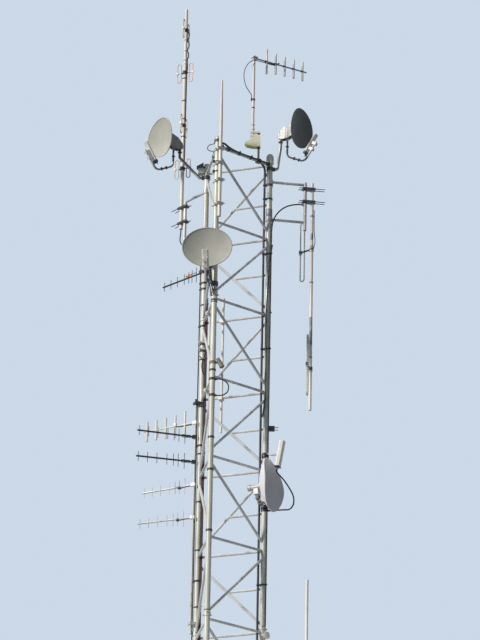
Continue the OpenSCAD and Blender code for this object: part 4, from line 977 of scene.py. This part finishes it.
# %% Bright feed boxes and their cables
orange, bright = Piece(), Piece()
feed_box(orange, 155, 5.898, 0.206, (0.042, 0.026, 0.034), rounding=0.004)
feed_box(orange, 155, 5.902, 0.160, (0.030, 0.020, 0.020), rounding=0.004)
orange.finish("orange_feed_box", copper, "dark_steel")
feed_box(bright, 170, 3.884, 0.290, (0.046, 0.040, 0.050), 0.006, 0.012, 0.006)
feed_box(bright, 155, 5.906, 0.240, (0.024, 0.022, 0.022), rounding=0.004)
bright.finish("bright_feed_boxes", radio_housing, "radio_plastic")
sweep(feed_cables, curved([on_yagi(170, 3.884, *point) for point in (
    (0.268, 0.010, -0.006), (0.240, 0.010, -0.018), (0.200, 0.006, -0.021), (0.120, 0.004, -0.019),
    (0.050, 0.004, -0.019))]), 0.012)
sweep(feed_cables, [on_yagi(155, 5.910, *point) for point in (
    (0.144, 0.0, -0.012), (0.10, 0.004, -0.0135), (0.04, 0.004, -0.0135))], 0.008)
feed_cables.finish("yagi_feed_cables", jacket, "cable_rubber")

# %% [markdown]
# ## Cables on the left leg
# Three thin cables, two of them red, are tied to the inner side of the left leg, and a black one winds round
# it. The list says how far aside it lies, and the leg's roundness gives how far forward.

# %% Cables on the left leg
INSIDE = heading(-30)
black_runs, red_runs, run_ties = Piece(), Piece(), Piece()


def wound(piece, leg, reach, line, diameter):
    """A cable on the camera's side of a leg, where line gives steps aside and heights."""
    sweep(piece, curved([at(leg + RIGHTWARD * aside + NEARER * math.sqrt(reach ** 2 - aside ** 2), z)
                         for aside, z in line]), diameter)


for run, reach, diameter in ((black_runs, 0.050, 0.014), (red_runs, 0.065, 0.015), (red_runs, 0.079, 0.013)):
    sweep(run, [at(LEFT + INSIDE * reach, z) for z in (5.53, 4.6, 3.6, 2.6, 1.6, 0.9, 0.28)], diameter)
wound(black_runs, LEFT, 0.042, ((-0.036, 4.765), (0.0, 4.711), (-0.008, 4.660), (-0.008, 4.605),
                                (0.005, 4.551), (0.033, 4.500)), 0.013)
for z in (5.45, 4.72, 4.10, 3.48, 2.86, 2.24, 1.52, 0.86, 0.36):
    run_ties.band(LEFT + INSIDE * 0.008, z, 0.090, 0.010)
    run_ties.block(placed(LEFT + INSIDE * 0.064, z, -30), (0.052, 0.022, 0.010))
black_runs.finish("left_leg_black_cables", jacket, "cable_rubber")
red_runs.finish("left_leg_red_cables", red_jacket, "cable_rubber")
run_ties.finish("left_leg_ties", clamp_black, "dark_steel")

# %% [markdown]
# The right array's cable goes on down the front of the right leg, from its outer edge to its inner one, so it
# is wound in the same way. A wide grey collar sits on the leg where the array's lower arm is held.

# %% Cable and collar on the right leg
leg_run, collar = Piece(), Piece()
wound(leg_run, RIGHT, 0.054, (
    (0.044, 6.150), (0.031, 6.030), (0.010, 5.870), (0.0, 5.580), (-0.016, 5.260), (-0.021, 4.940),
    (-0.012, 4.556), (-0.015, 4.279), (-0.010, 4.135), (-0.024, 4.000), (-0.043, 3.860)), 0.018)
collar.band(RIGHT, 6.590, 0.079, 0.110, 0.003)
leg_run.finish("right_leg_cable", jacket, "cable_rubber")
collar.finish("right_leg_collar", cup_zinc, "bracket_steel")

# %% [markdown]
# ## Bands on the top yagi
# The top yagi's mast has three bands and a small square bolt, and its cable is taped under the boom. Tape
# and cable are one dark, slightly bent rod, because no joint between them shows.

# %% Bands and taped cable of the top yagi
YAGI_MAST, BOOM_WAY, BOLT_WAY = Vector((0.2584, 0.5445)), heading(51), heading(-69)
bands, pale_bands, taped = Piece(), Piece(), Piece()
bands.band(YAGI_MAST, 7.990, 0.042, 0.014)
for z in (7.755, 7.692):
    pale_bands.band(YAGI_MAST, z, 0.046, 0.016, 0.003)
for side in (-1, 1):
    arm = YAGI_MAST + RIGHTWARD * 0.021 * side
    sweep(pale_bands, [at(arm + BOLT_WAY * 0.026, 7.590), at(arm - BOLT_WAY * 0.030, 7.590)], 0.007)
pale_bands.block(placed(YAGI_MAST - BOLT_WAY * 0.026, 7.590, 21), (0.066, 0.008, 0.026))
for place in (0.187, 0.321, 0.455, 0.589, 0.720):
    bands.ring(at(YAGI_MAST + BOOM_WAY * (place - 0.019), 8.690), at(BOOM_WAY, 0), 0.027, 0.012)
sweep(taped, curved([at(YAGI_MAST + BOOM_WAY * place, z) for place, z in (
    (0.172, 8.676), (0.20, 8.669), (0.25, 8.668), (0.30, 8.671), (0.335, 8.676))]), 0.018)
bands.finish("top_yagi_bands", clamp_black, "dark_steel")
pale_bands.finish("top_yagi_mast_bands", cap_zinc, "bracket_steel")
taped.finish("taped_cable", jacket, "cable_rubber")

# %% [markdown]
# ## A round box near the right leg's foot
# A round junction box faces outwards on a band. A spun profile would give its lid, but rings and a rod do it
# in three lines.

# %% Round junction box
BOX_WAY, BOX_HEIGHT = at(heading(-10), 0), 1.090
junction = Piece()
centre = at(RIGHT, BOX_HEIGHT) + BOX_WAY * 0.034
junction.band(RIGHT, BOX_HEIGHT, 0.084, 0.030, 0.003)
junction.ring(centre + BOX_WAY * 0.022, BOX_WAY, 0.088, 0.040, 0.006)
junction.ring(centre + BOX_WAY * 0.045, BOX_WAY, 0.076, 0.010, 0.003)
junction.rod(centre + BOX_WAY * 0.049, centre + BOX_WAY * 0.058, 0.058, 24, 0.030)
junction.finish("round_junction_box", radio_housing, "radio_plastic")

# %% [markdown]
# ## Floor
# The mast stands on a plain, pale disc. The camera is lower than the mast's foot, so the disc's underside
# is clear and can't hide the mast. A hidden floor would do for this view only.

# %% A floor that is clear from below
stage_mesh = bmesh.new()
bmesh.ops.create_circle(stage_mesh, cap_ends=True, segments=96, radius=2.1,
                        matrix=Matrix.Translation((0, 0.49, -0.001)))
stage_data = bpy.data.meshes.new("floor")
stage_mesh.to_mesh(stage_data)
stage_mesh.free()
floor = linked("floor", stage_data)

f = Finish("floor_paint")
paint, clear = f.node("BsdfDiffuse", None, {"Color": (0.72, 0.73, 0.74, 1)}), f.node("BsdfTransparent")
sides = f.node("MixShader", None, {0: f.node("NewGeometry", output="Backfacing"), 1: paint, 2: clear})
f.node("OutputMaterial", None, {"Surface": sides})
stage_data.materials.append(f.material)
print("floor:", len(stage_data.polygons), "face")

# %% [markdown]
# ## Sky
# The sky is two backgrounds. The camera, mirrors and glass see a pale blue, and a much weaker one lights the
# pieces, so that their shade isn't washed out.

# %% Sky
world = bpy.data.worlds.new("sky")
bpy.context.scene.world = world
sky = Nodes(world)
seen = 0
for ray in ("Is Camera Ray", "Is Transmission Ray", "Is Glossy Ray"):
    seen = sky.node("Math", {"operation": "MAXIMUM"}, {0: seen, 1: sky.node("LightPath", output=ray)})
light = sky.node("Background", None, {"Color": (0.84, 0.92, 1.0, 1), "Strength": 0.17})
backdrop = sky.node("Background", None, {"Color": (0.60, 0.69, 0.80, 1)})
sky.node("OutputWorld", None, {"Surface": sky.node("MixShader", None, {0: seen, 1: light, 2: backdrop})})
print("sky with", len(sky.tree.nodes), "nodes")

# %% [markdown]
# ## Sun
# The photograph has bright left sides and dark right sides, so a sun stands on the left. It is a few degrees
# wide, which softens the shadows' edges. One sun alone would leave the back black, so a weak, broad fill
# stands behind the mast, where it can't lighten the shade that the camera sees.

# %% Sun and fill


def add_sun(name, strength, width, colour, toward):
    """A distant lamp, width degrees wide, that shines from the direction toward."""
    lamp = bpy.data.lights.new(name, "SUN")
    lamp.energy, lamp.angle, lamp.color = strength, math.radians(width), colour
    linked(name, lamp).rotation_euler = toward.to_track_quat("Z", "Y").to_euler()


SUN_HEIGHT = math.radians(29)
toward_sun = at(heading(234) * math.cos(SUN_HEIGHT), math.sin(SUN_HEIGHT))
add_sun("sun", 2.9, 7, (1.0, 0.97, 0.91), toward_sun)
add_sun("back_fill", 0.9, 50, (0.95, 0.98, 1.0), at(heading(108) * 0.94, 0.34))
bpy.context.scene.view_settings.view_transform = "Standard"
print("sun from", [round(x, 2) for x in toward_sun])

# %% [markdown]
# ## Updating the scene
# The scene is updated once more at the end, so that every new piece stands in its place.

# %% Update the scene
bpy.context.view_layer.update()
